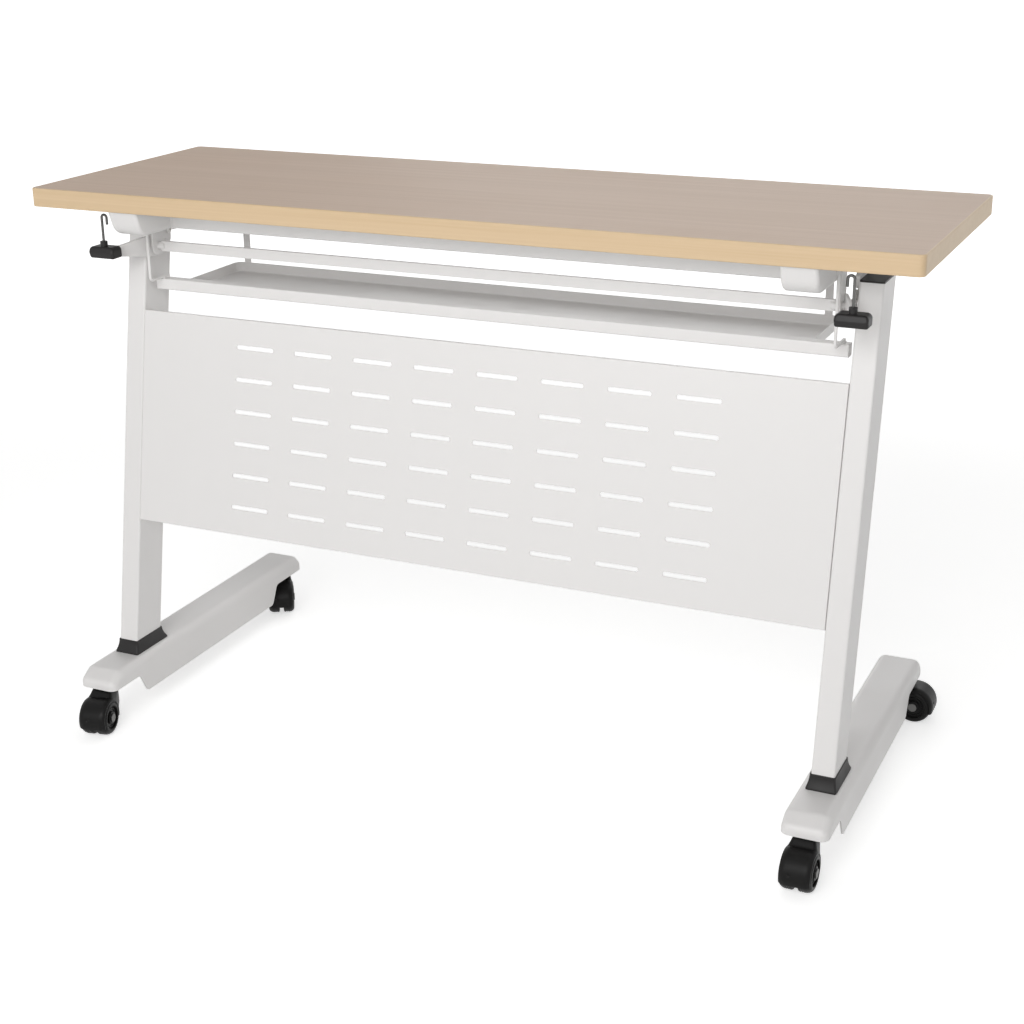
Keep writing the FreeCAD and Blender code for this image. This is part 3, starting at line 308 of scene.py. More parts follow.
class WoodGrain(Effect):
    """Straight maple figure along the table: wide drift, streaks, fine lines and short pores."""

    name = "maple_grain"
    inputs = (("Figure", 1.0),)
    outputs = (("Tone", "Float"), ("Pores", "Float"))
    figure_shares = (
        (Noise(stretch=(0.7, 9.0, 9.0)), 0.15),
        (Noise(octaves=5.0, fineness=0.62, stretch=(1.4, 90.0, 90.0)), 0.5),
        (Noise(octaves=3.0, fineness=0.6, stretch=(3.0, 420.0, 420.0)), 0.35),
    )
    pores = Noise(fineness=0.6, stretch=(55.0, 1500.0, 1500.0))
    pore_band = (0.60, 0.74)
    middle_tone = 0.5

    def wire(self, tree: Tree, given: dict[str, Socket]) -> dict[str, Socket]:
        """Mixes noises of three widths, each stretched along the grain.

        Args:
            tree: the group's tree.
            given: how strong the figure is.

        Returns:
            The wood's tone and the mask of its pores.
        """
        place = tree.add("TexCoord").outputs["Object"]
        tone = 0.0
        for noise, share in self.figure_shares:
            tone = tree.math("ADD", tree.math("MULTIPLY", tree.noise(place, noise), share), tone)
        centred = tree.math("MULTIPLY", tree.math("SUBTRACT", tone, self.middle_tone), given["Figure"])
        pores = tree.ramp(tree.noise(place, self.pores), self.pore_band)
        return {"Tone": tree.math("ADD", centred, self.middle_tone), "Pores": pores}


class Handling(Effect):
    """Fine scratches and faint smears from use, dust where a face looks up, and a mask of undersides."""

    name = "handling"
    inputs = (("Scratch Scale", 60.0),)
    outputs = (("Scratches", "Float"), ("Smears", "Float"), ("Dust", "Float"), ("Under", "Float"))
    scratches = Noise(stretch=(1.0, 14.0, 14.0))
    scratch_turn = 0.35
    scratch_middle = 0.5
    scratch_band = (0.0, 0.012)
    breaks = Noise(11.0)
    break_band = (0.58, 0.70)
    smears = Noise(6.0, 4.0, 0.6)
    smear_band = (0.42, 0.70)
    specks = Noise(900.0, 2.0, 0.7)
    speck_band = (0.50, 0.78)
    upward_band = (0.55, 0.95)
    under_cosine = -0.95

    def wire(self, tree: Tree, given: dict[str, Socket]) -> dict[str, Socket]:
        """Draws thin broken lines, wide clouds, and specks on upward faces.

        Args:
            tree: the group's tree.
            given: the scratches' scale.

        Returns:
            The masks of scratches, smears, dust and undersides.
        """
        place = tree.add("TexCoord").outputs["Object"]
        turn = {"Vector": place, "Angle": self.scratch_turn}
        turned_place = tree.add("VectorRotate", {"rotation_type": "Z_AXIS"}, **turn).outputs[0]
        lines = tree.noise(turned_place, self.scratches, given["Scratch Scale"])
        away = tree.math("ABSOLUTE", tree.math("SUBTRACT", lines, self.scratch_middle))
        thin = tree.ramp(away, self.scratch_band, 1.0, 0.0)
        broken = tree.ramp(tree.noise(place, self.breaks), self.break_band)
        facing = tree.add("NewGeometry").outputs["Normal"]
        own = {"vector_type": "NORMAL", "convert_from": "WORLD", "convert_to": "OBJECT"}
        own_facing = tree.add("VectorTransform", own, Vector=facing).outputs[0]
        upward = tree.add("SeparateXYZ", Vector=own_facing).outputs["Z"]
        specks = tree.ramp(tree.noise(place, self.specks), self.speck_band)
        return {
            "Scratches": tree.math("MULTIPLY", thin, broken),
            "Smears": tree.ramp(tree.noise(place, self.smears), self.smear_band),
            "Dust": tree.math("MULTIPLY", tree.ramp(upward, self.upward_band), specks),
            "Under": tree.math("LESS_THAN", upward, self.under_cosine),
        }


@dataclass(frozen=True)
class Finish:
    """What every finish has: a name, a colour, how it takes light and how uneven its skin is."""

    name: str
    colour: Triple
    roughness: float
    shine: float = 0.5
    metallic: float = 0.0
    arris: float = 0.0008
    skin_scale: float = 700.0
    skin_depth: float = 0.00003
    smoother: float = 0.05
    rougher: float = 0.06
    scratch_scale: float = 40.0

    def material(self) -> Material:
        """Builds the finish as a material, with its skin bumped over softened arrises.

        Returns:
            The material.
        """
        material = bpy.data.materials.new(self.name)
        material.use_nodes = True
        material.diffuse_color = (*self.colour, 1.0)
        tree = Tree(material.node_tree)
        shader = tree.find("BSDF_PRINCIPLED")
        tree.fill(shader, Roughness=self.roughness, Specular_IOR_Level=self.shine, Metallic=self.metallic)
        edges = SoftEdges().put(tree, Radius=self.arris)
        colour, rough, height = self.look(tree, edges["Edge"])
        relief = {"Distance": self.skin_depth, "Height": height, "Normal": edges["Normal"]}
        bump = tree.add("Bump", Strength=1.0, **relief)
        tree.fill(shader, Base_Color=colour, Roughness=rough, Normal=bump.outputs["Normal"])
        return material

    def look(self, tree: Tree, arrises: Socket) -> Look:
        """Builds what sets the finish apart.

        Args:
            tree: the material's tree.
            arrises: the mask of arrises.

        Returns:
            The sockets of its colour, its roughness and its skin's height.
        """
        raise NotImplementedError

    def uneven(self, tree: Tree, mask: Socket, band: Band = (0.0, 1.0)) -> Socket:
        """The roughness, from its smoothest at a mask's low end to its roughest at the high end."""
        return tree.ramp(mask, band, self.roughness - self.smoother, self.roughness + self.rougher)


@dataclass(frozen=True)
class PowderCoat(Finish):
    """Sprayed and baked paint on steel."""

    skin_scale: float = 650.0
    skin_depth: float = 0.00006
    shade: Triple = (0.62, 0.60, 0.58)
    mottle_share: float = 0.035
    wear_share: float = 0.10
    dust_share: float = 0.10

    def look(self, tree: Tree, arrises: Socket) -> Look:
        """Paint with a fine peel, a faint mottle, rubbed arrises and a little dust.

        Args:
            tree: the material's tree.
            arrises: the mask of arrises.

        Returns:
            The sockets of its colour, its roughness and its skin's height.
        """
        peel = OrangePeel().put(tree, Scale=self.skin_scale)
        use = Handling().put(tree, Scratch_Scale=self.scratch_scale)
        colour = tree.tint(self.colour, self.shade, peel["Mottle"], self.mottle_share)
        colour = tree.tint(colour, self.shade, arrises, self.wear_share)
        colour = tree.tint(colour, self.shade, use["Dust"], self.dust_share)
        return colour, self.uneven(tree, use["Smears"]), peel["Height"]


@dataclass(frozen=True)
class Laminate(Finish):
    """Maple-figured laminate or edging."""

    smoother: float = 0.008
    rougher: float = 0.012
    scratch_scale: float = 25.0
    dark: Triple = (0.3, 0.2, 0.1)
    backing: Triple = (0.74, 0.73, 0.71)
    figure: float = 1.0
    tone_band: Band = (0.30, 0.70)
    pore_share: float = 0.18
    scratch_share: float = 0.05

    def look(self, tree: Tree, arrises: Socket) -> Look:
        """Straight figure with short pores under a satin, used skin, and a pale sheet below.

        Args:
            tree: the material's tree.
            arrises: the mask of arrises, which this finish leaves alone.

        Returns:
            The sockets of its colour, its roughness and its skin's height.
        """
        grain = WoodGrain().put(tree, Figure=self.figure)
        use = Handling().put(tree, Scratch_Scale=self.scratch_scale)
        tone = tree.ramp(grain["Tone"], self.tone_band, 1.0, 0.0)
        colour = tree.blend(tone, self.colour, self.dark)
        colour = tree.tint(colour, self.dark, grain["Pores"], self.pore_share)
        colour = tree.blend(use["Under"], colour, self.backing)
        scratched = tree.math("MULTIPLY", use["Scratches"], self.scratch_share)
        rough = tree.math("ADD", self.uneven(tree, use["Smears"]), scratched)
        return colour, rough, tree.math("SUBTRACT", 1.0, grain["Pores"])


@dataclass(frozen=True)
class Moulding(Finish):
    """Injection-moulded plastic."""

    skin_scale: float = 1400.0
    skin_depth: float = 0.00005
    smoother: float = 0.07
    rougher: float = 0.07
    scratch_scale: float = 70.0
    scuff: Triple = (0.07, 0.068, 0.066)
    scuff_share: float = 0.35
    scuff_band: Band = (0.40, 0.65)
    scuff_least_share: float = 0.2
    dust_share: float = 0.12

    def look(self, tree: Tree, arrises: Socket) -> Look:
        """Spark-eroded skin, with paler arrises where it has been knocked.

        Args:
            tree: the material's tree.
            arrises: the mask of arrises.

        Returns:
            The sockets of its colour, its roughness and its skin's height.
        """
        peel = OrangePeel().put(tree, Scale=self.skin_scale)
        use = Handling().put(tree, Scratch_Scale=self.scratch_scale)
        knocks = tree.ramp(peel["Mottle"], self.scuff_band, self.scuff_least_share)
        knocked = tree.math("MULTIPLY", arrises, knocks)
        colour = tree.tint(self.colour, self.scuff, knocked, self.scuff_share)
        colour = tree.tint(colour, self.scuff, use["Dust"], self.dust_share)
        return colour, self.uneven(tree, use["Smears"]), peel["Height"]


@dataclass(frozen=True)
class Plating(Finish):
    """Bright zinc on steel."""

    metallic: float = 1.0
    skin_scale: float = 900.0
    smoother: float = 0.06
    rougher: float = 0.12
    tarnish: Triple = (0.36, 0.34, 0.31)
    tarnish_share: float = 0.35
    tarnish_band: Band = (0.40, 0.70)
    dull_band: Band = (0.35, 0.70)

    def look(self, tree: Tree, arrises: Socket) -> Look:
        """Metal with a fine drawn texture and dull patches.

        Args:
            tree: the material's tree.
            arrises: the mask of arrises, which this finish leaves alone.

        Returns:
            The sockets of its colour, its roughness and its skin's height.
        """
        peel = OrangePeel().put(tree, Scale=self.skin_scale)
        dull = tree.ramp(peel["Mottle"], self.tarnish_band, 0.0, self.tarnish_share)
        colour = tree.blend(dull, self.colour, self.tarnish)
        return colour, self.uneven(tree, peel["Mottle"], self.dull_band), peel["Height"]


FINISHES: dict[str, Finish] = {
    "white_paint": PowderCoat("white_powder_coat", (0.80, 0.785, 0.775), 0.42),
    "white_plastic": Moulding("white_moulding", (0.78, 0.77, 0.76), 0.45, scuff=(0.6, 0.58, 0.56)),
    "laminate": Laminate(
        "maple_laminate", (0.66, 0.50, 0.385), 0.5, shine=0.3, dark=(0.58, 0.425, 0.315), figure=0.8
    ),
    "edging": Laminate("maple_edging", (0.72, 0.545, 0.35), 0.42, dark=(0.63, 0.455, 0.265), figure=0.7),
    "black_plastic": Moulding("black_moulding", (0.014, 0.013, 0.013), 0.5, shine=0.3),
    "caster_plastic": Moulding("caster_nylon", (0.007, 0.0068, 0.0066), 0.42, shine=0.14),
    "bush_plastic": Moulding("grey_acetal", (0.2, 0.2, 0.195), 0.4),
    "bare_steel": Plating("bright_zinc", (0.66, 0.65, 0.63), 0.32),
    "dark_steel": Plating("dark_plating", (0.13, 0.128, 0.125), 0.36, tarnish=(0.06, 0.058, 0.055)),
}
MATERIALS: dict[str, Material] = {}


def finish_of(slot: str) -> Material:
    """Gives the material of one of the record's slots, made on first use.

    Args:
        slot: the slot's name.

    Returns:
        The material.
    """
    if slot not in MATERIALS:
        MATERIALS[slot] = FINISHES[slot].material()
    return MATERIALS[slot]


def dress_nodes() -> None:
    """Gives each CAD node the finish of its slot in the record."""
    for entry in frame["record"]["subparts"]:
        node = frame["nodes"][entry["node"]]
        node.data.materials.clear()
        node.data.materials.append(finish_of(entry["material_slot"]))
        log.info("%s wears %s", entry["node"], entry["material_slot"])


def show(name: str, data: bpy.types.ID) -> bpy.types.Object:
    """Puts a mesh, a lamp or a camera in the scene.

    Args:
        name: the new object's name.
        data: what it shows.

    Returns:
        The object.
    """
    made = bpy.data.objects.new(name, data)
    bpy.context.scene.collection.objects.link(made)
    return made


def show_shape(name: str, shape: Shape) -> bpy.types.Object:
    """Puts a shape in the scene as a mesh.

    Args:
        name: the mesh's name and the object's.
        shape: the shape, which is freed.

    Returns:
        The object.
    """
    mesh = bpy.data.meshes.new(name)
    shape.to_mesh(mesh)
    shape.free()
    return show(name, mesh)


def add_piece(name: str, shape: Shape, slot: str, body: str, crease: float = 40.0) -> bpy.types.Object:
    """Turns a finished shape into a piece that rides on a body.

    Args:
        name: the piece's name.
        shape: its shape, which is freed.
        slot: the record's slot that it takes its finish from.
        body: the CAD body that carries it.
        crease: the angle in degrees above which an edge stays sharp.

    Returns:
        The new piece.
    """
    bmesh.ops.recalc_face_normals(shape, faces=shape.faces)
    for face in shape.faces:
        face.smooth = True
    for edge in shape.edges:
        edge.smooth = len(edge.link_faces) == 2 and edge.calc_face_angle(0.0) < math.radians(crease)
    piece = show_shape(name, shape)
    piece.data.materials.append(finish_of(slot))
    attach(piece, body)
    log.info("%s rides on %s", name, body)
    return piece


def spaced(start: float, end: float, steps: int) -> list[float]:
    """Values from start to end in equal steps, both ends among them."""
    return [start + (end - start) * i / steps for i in range(steps + 1)]


def quarter(steps: int) -> Points:
    """Sine and cosine in equal steps of a quarter turn."""
    return [(math.sin(turn), math.cos(turn)) for turn in spaced(0.0, QUARTER_TURN, steps)]


def eased(share: float) -> float:
    """A share held between 0 and 1 and smoothed at both ends."""
    held = min(1.0, max(0.0, share))
    return held * held * (3.0 - 2.0 * held)


def ring(shape: Shape, to_table: Matrix, radius: float, height: float, count: int) -> Loop:
    """Adds a ring of points about the local Z axis.

    Args:
        shape: the shape that the points go into.
        to_table: turns local places into the table's.
        radius: the ring's radius.
        height: its height along Z.
        count: how many points it has.

    Returns:
        The ring's points in order.
    """
    turns = [math.tau * i / count for i in range(count)]
    places = [Vector((radius * math.cos(turn), radius * math.sin(turn), height)) for turn in turns]
    return [shape.verts.new(to_table @ point) for point in places]


def strip(shape: Shape, first: Loop, second: Loop) -> None:
    """Joins two rows of as many points with a strip of faces."""
    for i in range(len(first) - 1):
        shape.faces.new((first[i], first[i + 1], second[i + 1], second[i]))


def skin(shape: Shape, first: Loop, second: Loop) -> None:
    """Joins two loops of as many points with a closed band of faces."""
    strip(shape, first + first[:1], second + second[:1])


def loft(shape: Shape, loops: Sequence[Loop]) -> None:
    """Joins each loop to the next."""
    for one, other in zip(loops, loops[1:]):
        skin(shape, one, other)


def turned(shape: Shape, to_table: Matrix, profile: Sequence[tuple[float, float]], count: int) -> list[Loop]:
    """Turns an open profile about the local Z axis.

    Args:
        shape: the shape to add to.
        to_table: turns local places into the table's.
        profile: radius and height of each ring.
        count: points to a ring.

    Returns:
        The rings, first to last.
    """
    rings = [ring(shape, to_table, radius, height, count) for radius, height in profile]
    loft(shape, rings)
    return rings


def looking(point: Vector, way: Vector) -> Matrix:
    """A frame at a point whose Z axis looks a given way."""
    return Matrix.Translation(point) @ way.to_track_quat("Z", "Y").to_matrix().to_4x4()


def points_of(node: str) -> list[Vector]:
    """The points of a CAD node's mesh."""
    return [vertex.co for vertex in frame["nodes"][node].data.vertices]


def islands(node: str) -> list[tuple[Vector, Vector]]:
    """Finds the separate solids of a CAD node.

    Args:
        node: the node's name.

    Returns:
        The low and high corner of each solid's box.
    """
    points = points_of(node)
    numbers: dict[tuple[float, ...], int] = {}
    owner = []
    for point in points:
        key = tuple(round(value, SAME_PLACES) for value in point)
        owner.append(numbers.setdefault(key, len(numbers)))
    parent = list(range(len(numbers)))

    def root(i: int) -> int:
        """Follows a point to its solid's first point.

        Args:
            i: the point's number.

        Returns:
            The first point's number.
        """
        while parent[i] != i:
            parent[i] = parent[parent[i]]
            i = parent[i]
        return i

    for face in frame["nodes"][node].data.polygons:
        first, *others = [owner[i] for i in face.vertices]
        for other in others:
            parent[root(other)] = root(first)
    solids: dict[int, list[Vector]] = {}
    for point, number in zip(points, owner):
        solids.setdefault(root(number), []).append(point)
    return [(Vector(map(min, zip(*solid))), Vector(map(max, zip(*solid)))) for solid in solids.values()]


def drilled(shape: Shape, drill: Shape) -> Shape:
    """Cuts one closed shape out of another.

    Args:
        shape: the blank, which is freed.
        drill: the shape to cut away, which is freed.

    Returns:
        What is left of the blank.
    """
    for item in (shape, drill):
        bmesh.ops.recalc_face_normals(item, faces=item.faces)
    blank = show_shape("blank", shape)
    tool = show_shape("drill", drill)
    cut = blank.modifiers.new("bore", "BOOLEAN")
    cut.operation = "DIFFERENCE"
    cut.solver = "EXACT"
    cut.object = tool
    graph = bpy.context.evaluated_depsgraph_get()
    result = bpy.data.meshes.new_from_object(blank.evaluated_get(graph))
    left = bmesh.new()
    left.from_mesh(result)
    bmesh.ops.triangulate(left, faces=[face for face in left.faces if len(face.verts) > QUAD])
    bmesh.ops.dissolve_degenerate(left, edges=left.edges, dist=WELD_GAP)
    spent = [result, blank.data, tool.data]
    for item in (blank, tool):
        bpy.data.objects.remove(item)
    for mesh in spent:
        bpy.data.meshes.remove(mesh)
    return left


class Drive(Enum):
    """The recess in a fastener's head."""

    CROSS = "cross"
    HEX = "hex"


class Facing(Enum):
    """The way that a group of heads looks."""

    INWARD = "towards the table's middle"
    DOWN = "down"


@dataclass
class Heads:
    """The heads of one group of fasteners, each with its recess."""

    node: str
    body: str
    drive: Drive
    facing: Facing
    radius: float
    height: float
    slot: str = "bare_steel"
    count: int = 36
    dome_shares: tuple[tuple[float, float], ...] = (
        (0.96, 0.0), (1.0, 0.06), (1.0, 0.40), (0.97, 0.58),
        (0.90, 0.76), (0.80, 0.88), (0.68, 0.96), (0.60, 1.0),
    )
    cross_reach_share: float = 0.46
    cross_width_share: float = 0.10
    cross_arms: int = 4
    hex_share: float = 0.46
    hex_sides: int = 6
    recess_share: float = 0.62

    def build(self) -> None:
        """Builds every head of the group as one piece in place of its node."""
        shape = bmesh.new()
        for low, high in islands(self.node):
            self.head(shape, self.seat(low, high))
        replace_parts(add_piece(self.node + "_heads", shape, self.slot, self.body), self.node)

    def seat(self, low: Vector, high: Vector) -> Matrix:
        """Finds where one head sits.

        Args:
            low: the solid's low corner.
            high: its high corner.

        Returns:
            A frame at the foot of the head that looks out of it.
        """
        middle = (low + high) / 2.0
        if self.facing is Facing.DOWN:
            return looking(Vector((middle.x, middle.y, low.z + self.height)), DOWN)
        inward = -1.0 if middle.x > 0.0 else 1.0
        tip = low.x if middle.x > 0.0 else high.x
        return looking(Vector((tip - inward * self.height, middle.y, middle.z)), Vector((inward, 0.0, 0.0)))

    def outline(self) -> Points:
        """The recess seen from above, anticlockwise.

        Returns:
            Its corners about the head's middle.
        """
        if self.drive is Drive.HEX:
            reach = self.radius * self.hex_share
            turns = [math.tau * i / self.hex_sides for i in range(self.hex_sides)]
            return [(reach * math.cos(turn), reach * math.sin(turn)) for turn in turns]
        reach = self.radius * self.cross_reach_share
        half = self.radius * self.cross_width_share
        arm = [(reach, -half), (reach, half), (half, half)]
        corners = []
        for _ in range(self.cross_arms):
            corners += arm
            arm = [(-y, x) for x, y in arm]
        return corners

    def head(self, shape: Shape, to_table: Matrix) -> None:
        """Adds one domed head with its recess.

        Args:
            shape: the shape to add to.
            to_table: the frame at the head's foot.
        """
        profile = [(out * self.radius, rise * self.height) for out, rise in self.dome_shares]
        rings = turned(shape, to_table, profile, self.count)
        shape.faces.new(rings[0])
        floor = self.height * (1.0 - self.recess_share)
        mouth, bottom = (
            [shape.verts.new(to_table @ Vector((x, y, level))) for x, y in self.outline()]
            for level in (self.height, floor)
        )
        skin(shape, mouth, bottom)
        shape.faces.new(bottom)
        lips = []
        for loop in (rings[-1], mouth):
            lips += [shape.edges.get(pair) for pair in zip(loop, loop[1:] + loop[:1])]
        bmesh.ops.triangle_fill(shape, edges=lips, use_beauty=True)


@dataclass(frozen=True)
class Tread:
    """The shape that a caster's wheels and its hood share: a flat tread with a wide round outside it."""

    radius: float = 0.025
    flat: float = 0.0115
    run: float = 0.009
    drop: float = 0.006

    def reach(self, across: float) -> float:
        """The tread's radius at a distance along the axle from the caster's middle."""
        share = min(1.0, max(0.0, abs(across) - self.flat) / self.run)
        return self.radius - self.drop * (1.0 - math.sqrt(1.0 - share * share))


@dataclass
class CasterWheel:
    """One moulded wheel: a rounded tread with grooves, a dished face with a raised ring, and a hub."""

    node: str
    joint: dict
    outward: float
    tread: Tread = Tread()
    inner: float = 0.0035
    bore: float = 0.00305
    shoulder: float = 0.002
    groove: float = 0.0005
    grooves: tuple[float, ...] = (0.0075, 0.0100)
    groove_shares: tuple[tuple[float, float], ...] = ((-2.0, 0.0), (-1.0, 1.0), (1.0, 1.0), (2.0, 0.0))
    rim: float = 0.0014
    dish: float = 0.0036
    hub: float = 0.0092
    lip: float = 0.0008
    ring_radius: float = 0.0131
    ring_half: float = 0.0009
    ring_rise: float = 0.0012
    count: int = 96
    inner_steps: int = 4
    outer_steps: int = 12

    def build(self) -> None:
        """Builds the wheel in place of its node."""
        shape = bmesh.new()
        axle = Vector(self.joint["axis"]).normalized() * self.outward
        to_table = looking(Vector(self.joint["pos_m"]), axle)
        rings = turned(shape, to_table, self.profile(), self.count)
        skin(shape, rings[-1], rings[0])
        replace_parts(add_piece(self.node + "_moulding", shape, "caster_plastic", self.node), self.node)

    def profile(self) -> Points:
        """Half the wheel's section, from the bore's inner end round to its outer end.

        Returns:
            Radii and places along the axle.
        """
        tread = self.tread
        far = tread.flat + tread.run
        edge = tread.radius - tread.drop - self.rim
        dish = far - self.dish
        points = [(self.bore, self.inner), (self.hub, self.inner)]
        for sine, cosine in quarter(self.inner_steps):
            out = tread.radius - self.shoulder * (1.0 - sine)
            points.append((out, self.inner + self.shoulder * (1.0 - cosine)))
        for middle in self.grooves:
            for offset, depth in self.groove_shares:
                points.append((tread.radius - depth * self.groove, middle + offset * self.groove))
        for sine, cosine in quarter(self.outer_steps):
            points.append((tread.radius - tread.drop * (1.0 - cosine), tread.flat + tread.run * sine))
        points += [
            (edge, far),
            (edge - self.lip, far - self.lip),
            (edge - self.lip, dish),
            (self.ring_radius + self.ring_half, dish),
            (self.ring_radius + self.ring_half / 2.0, dish + self.ring_rise),
            (self.ring_radius - self.ring_half / 2.0, dish + self.ring_rise),
            (self.ring_radius - self.ring_half, dish),
            (self.hub, dish),
            (self.hub, far - self.lip),
            (self.hub - self.lip, far),
            (self.bore, far),
        ]
        return points


@dataclass
class CasterHood:
    """A moulded hood: a neck over the stem that flares into a cover over both wheels, with a web between."""

    name: str
    swivel: dict
    roll: dict
    tread: Tread = Tread()
    gap: float = 0.001
    wall: float = 0.0018
    half_width: float = 0.0195
    web_half: float = 0.003
    web_inner: float = 0.0072
    hub: float = 0.0075
    eye: float = 0.0033
    bore: float = 0.0058
    bore_low: float = 0.014
    neck_top: float = 0.0375
    neck_back: float = 0.042
    neck_half: float = 0.0115
    neck_soft: float = 0.003
    over: float = 0.002
    dimple_radius: float = 0.0024
    dimple_depth: float = 0.0012
    dimple_across: float = -0.006
    dimple_turn: float = 12.0
    cover_turns: Band = (-18.5, 198.5)
    neck_turns: Band = (99.0, 182.0)
    neck_blends: Band = (16.0, 12.0)
    steps: int = 96
    well_steps: int = 20
    web_steps: int = 6
    ring_count: int = 48

    def build(self) -> None:
        """Builds the hood in place of its node, with its stem's bore and the boss round its axle."""
        stem = Vector(self.swivel["pos_m"])
        axle = Vector(self.roll["pos_m"])
        forward = Vector((axle.x - stem.x, axle.y - stem.y, 0.0))
        trail = forward.length
        forward.normalize()
        side = UP.cross(forward)
        to_table = Matrix.Translation(axle) @ Matrix((forward, side, UP)).transposed().to_4x4()
        drill = bmesh.new()
        to_stem = to_table @ Matrix.Translation((-trail, 0.0, 0.0))
        heights = ((self.bore, self.bore_low), (self.bore, self.neck_top + self.over))
        for cap in turned(drill, to_stem, heights, self.ring_count):
            drill.faces.new(cap)
        shape = drilled(self.shell(to_table), drill)
        corners = ((self.eye, -1.0), (self.hub, -1.0), (self.hub, 1.0), (self.eye, 1.0))
        boss = [(out, end * self.web_half) for out, end in corners]
        rings = turned(shape, looking(axle, side), boss, self.ring_count)
        skin(shape, rings[-1], rings[0])
        piece = add_piece(self.name + "_hood_moulding", shape, "caster_plastic", self.name + "_caster")
        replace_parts(piece, self.name + "_hood")

    def shell(self, to_table: Matrix) -> Shape:
        """Sweeps the hood's section round the axle and closes both ends.

        Args:
            to_table: a frame at the axle whose X axis looks ahead and Y axis along it.

        Returns:
            The hood without its bore.
        """
        shape = bmesh.new()
        first, last = (math.radians(angle) for angle in self.cover_turns)

        def add(turn: float, points: Points) -> Loop:
            """Adds points at one turn, given by their place along the axle and their radius."""
            places = [Vector((out * math.cos(turn), across, out * math.sin(turn))) for across, out in points]
            return [shape.verts.new(to_table @ point) for point in places]

        loops = [add(turn, self.section(turn)) for turn in spaced(first, last, self.steps)]
        loft(shape, loops)
        spread = self.spread()
        well = self.well_steps
        for turn, loop in ((first, loops[0]), (last, loops[-1])):
            under = loop[:len(spread) - 1:-1]
            middle = add(turn, self.well_line(spread[well + 1:-well - 1]))
            shelf = under[:well + 1] + middle + under[-well - 1:]
            strip(shape, loop[:len(spread)], shelf)
            strip(shape, shelf[well:-well], under[well + 1:-well - 1])
        return shape

    def spread(self) -> list[float]:
        """Places along the axle from one rim of the hood to the other, with one at each face of the web."""
        near = spaced(-self.half_width, -self.web_half, self.well_steps)[:-1]
        web = spaced(-self.web_half, self.web_half, self.web_steps)
        return near + web + [-across for across in reversed(near)]

    def well_line(self, places: Sequence[float]) -> Points:
        """The wells' roof at some places along the axle."""
        return [(across, self.tread.reach(across) + self.gap) for across in places]

    def section(self, turn: float) -> Points:
        """The hood's section at one turn round the axle: its cover, both wheel wells and the web.

        Args:
            turn: the angle from straight ahead, in radians.

        Returns:
            Places along the axle and radii, once round.
        """
        spread = self.spread()
        well = self.well_steps
        cover = [(across, self.reach(turn, across)) for across in spread]
        web = [(across, self.web_inner) for across in spread[well:-well]]
        inside = self.well_line(spread[:well + 1]) + web + self.well_line(spread[-well - 1:])
        return cover + inside[::-1]

    def reach(self, turn: float, across: float) -> float:
        """The hood's outer radius.

        Args:
            turn: the angle from straight ahead, in radians.
            across: the place along the axle.

        Returns:
            The distance from the axle's line.
        """
        cover = self.tread.reach(across) + self.gap + self.wall
        ahead = (turn - math.radians(self.dimple_turn)) * cover
        away = math.hypot(ahead, across - self.dimple_across) / self.dimple_radius
        cover -= self.dimple_depth * (1.0 - eased(2.0 * away - 1.0))
        flare = 1.0 - eased((abs(across) - self.neck_half) / (self.half_width - self.neck_half))
        return cover + self.neck_rise(turn) * flare

    def neck_rise(self, turn: float) -> float:
        """How far the neck stands beyond the cover.

        Args:
            turn: the angle from straight ahead, in radians.

        Returns:
            The rise, with its top and its back rounded into one another.
        """
        first, last = (math.radians(angle) for angle in self.neck_turns)
        if not first < turn < last:
            return 0.0
        rise, fall = (math.radians(angle) for angle in self.neck_blends)
        top = self.neck_top / max(math.sin(turn), math.sin(rise))
        back = self.neck_back / max(-math.cos(turn), math.sin(rise))
        low = min(top, back)
        soft = math.exp((low - top) / self.neck_soft) + math.exp((low - back) / self.neck_soft)
        neck = low - self.neck_soft * math.log(soft)
        share = min(eased((turn - first) / rise), eased((last - turn) / fall))
        return max(0.0, neck - self.tread.radius - self.gap - self.wall) * share


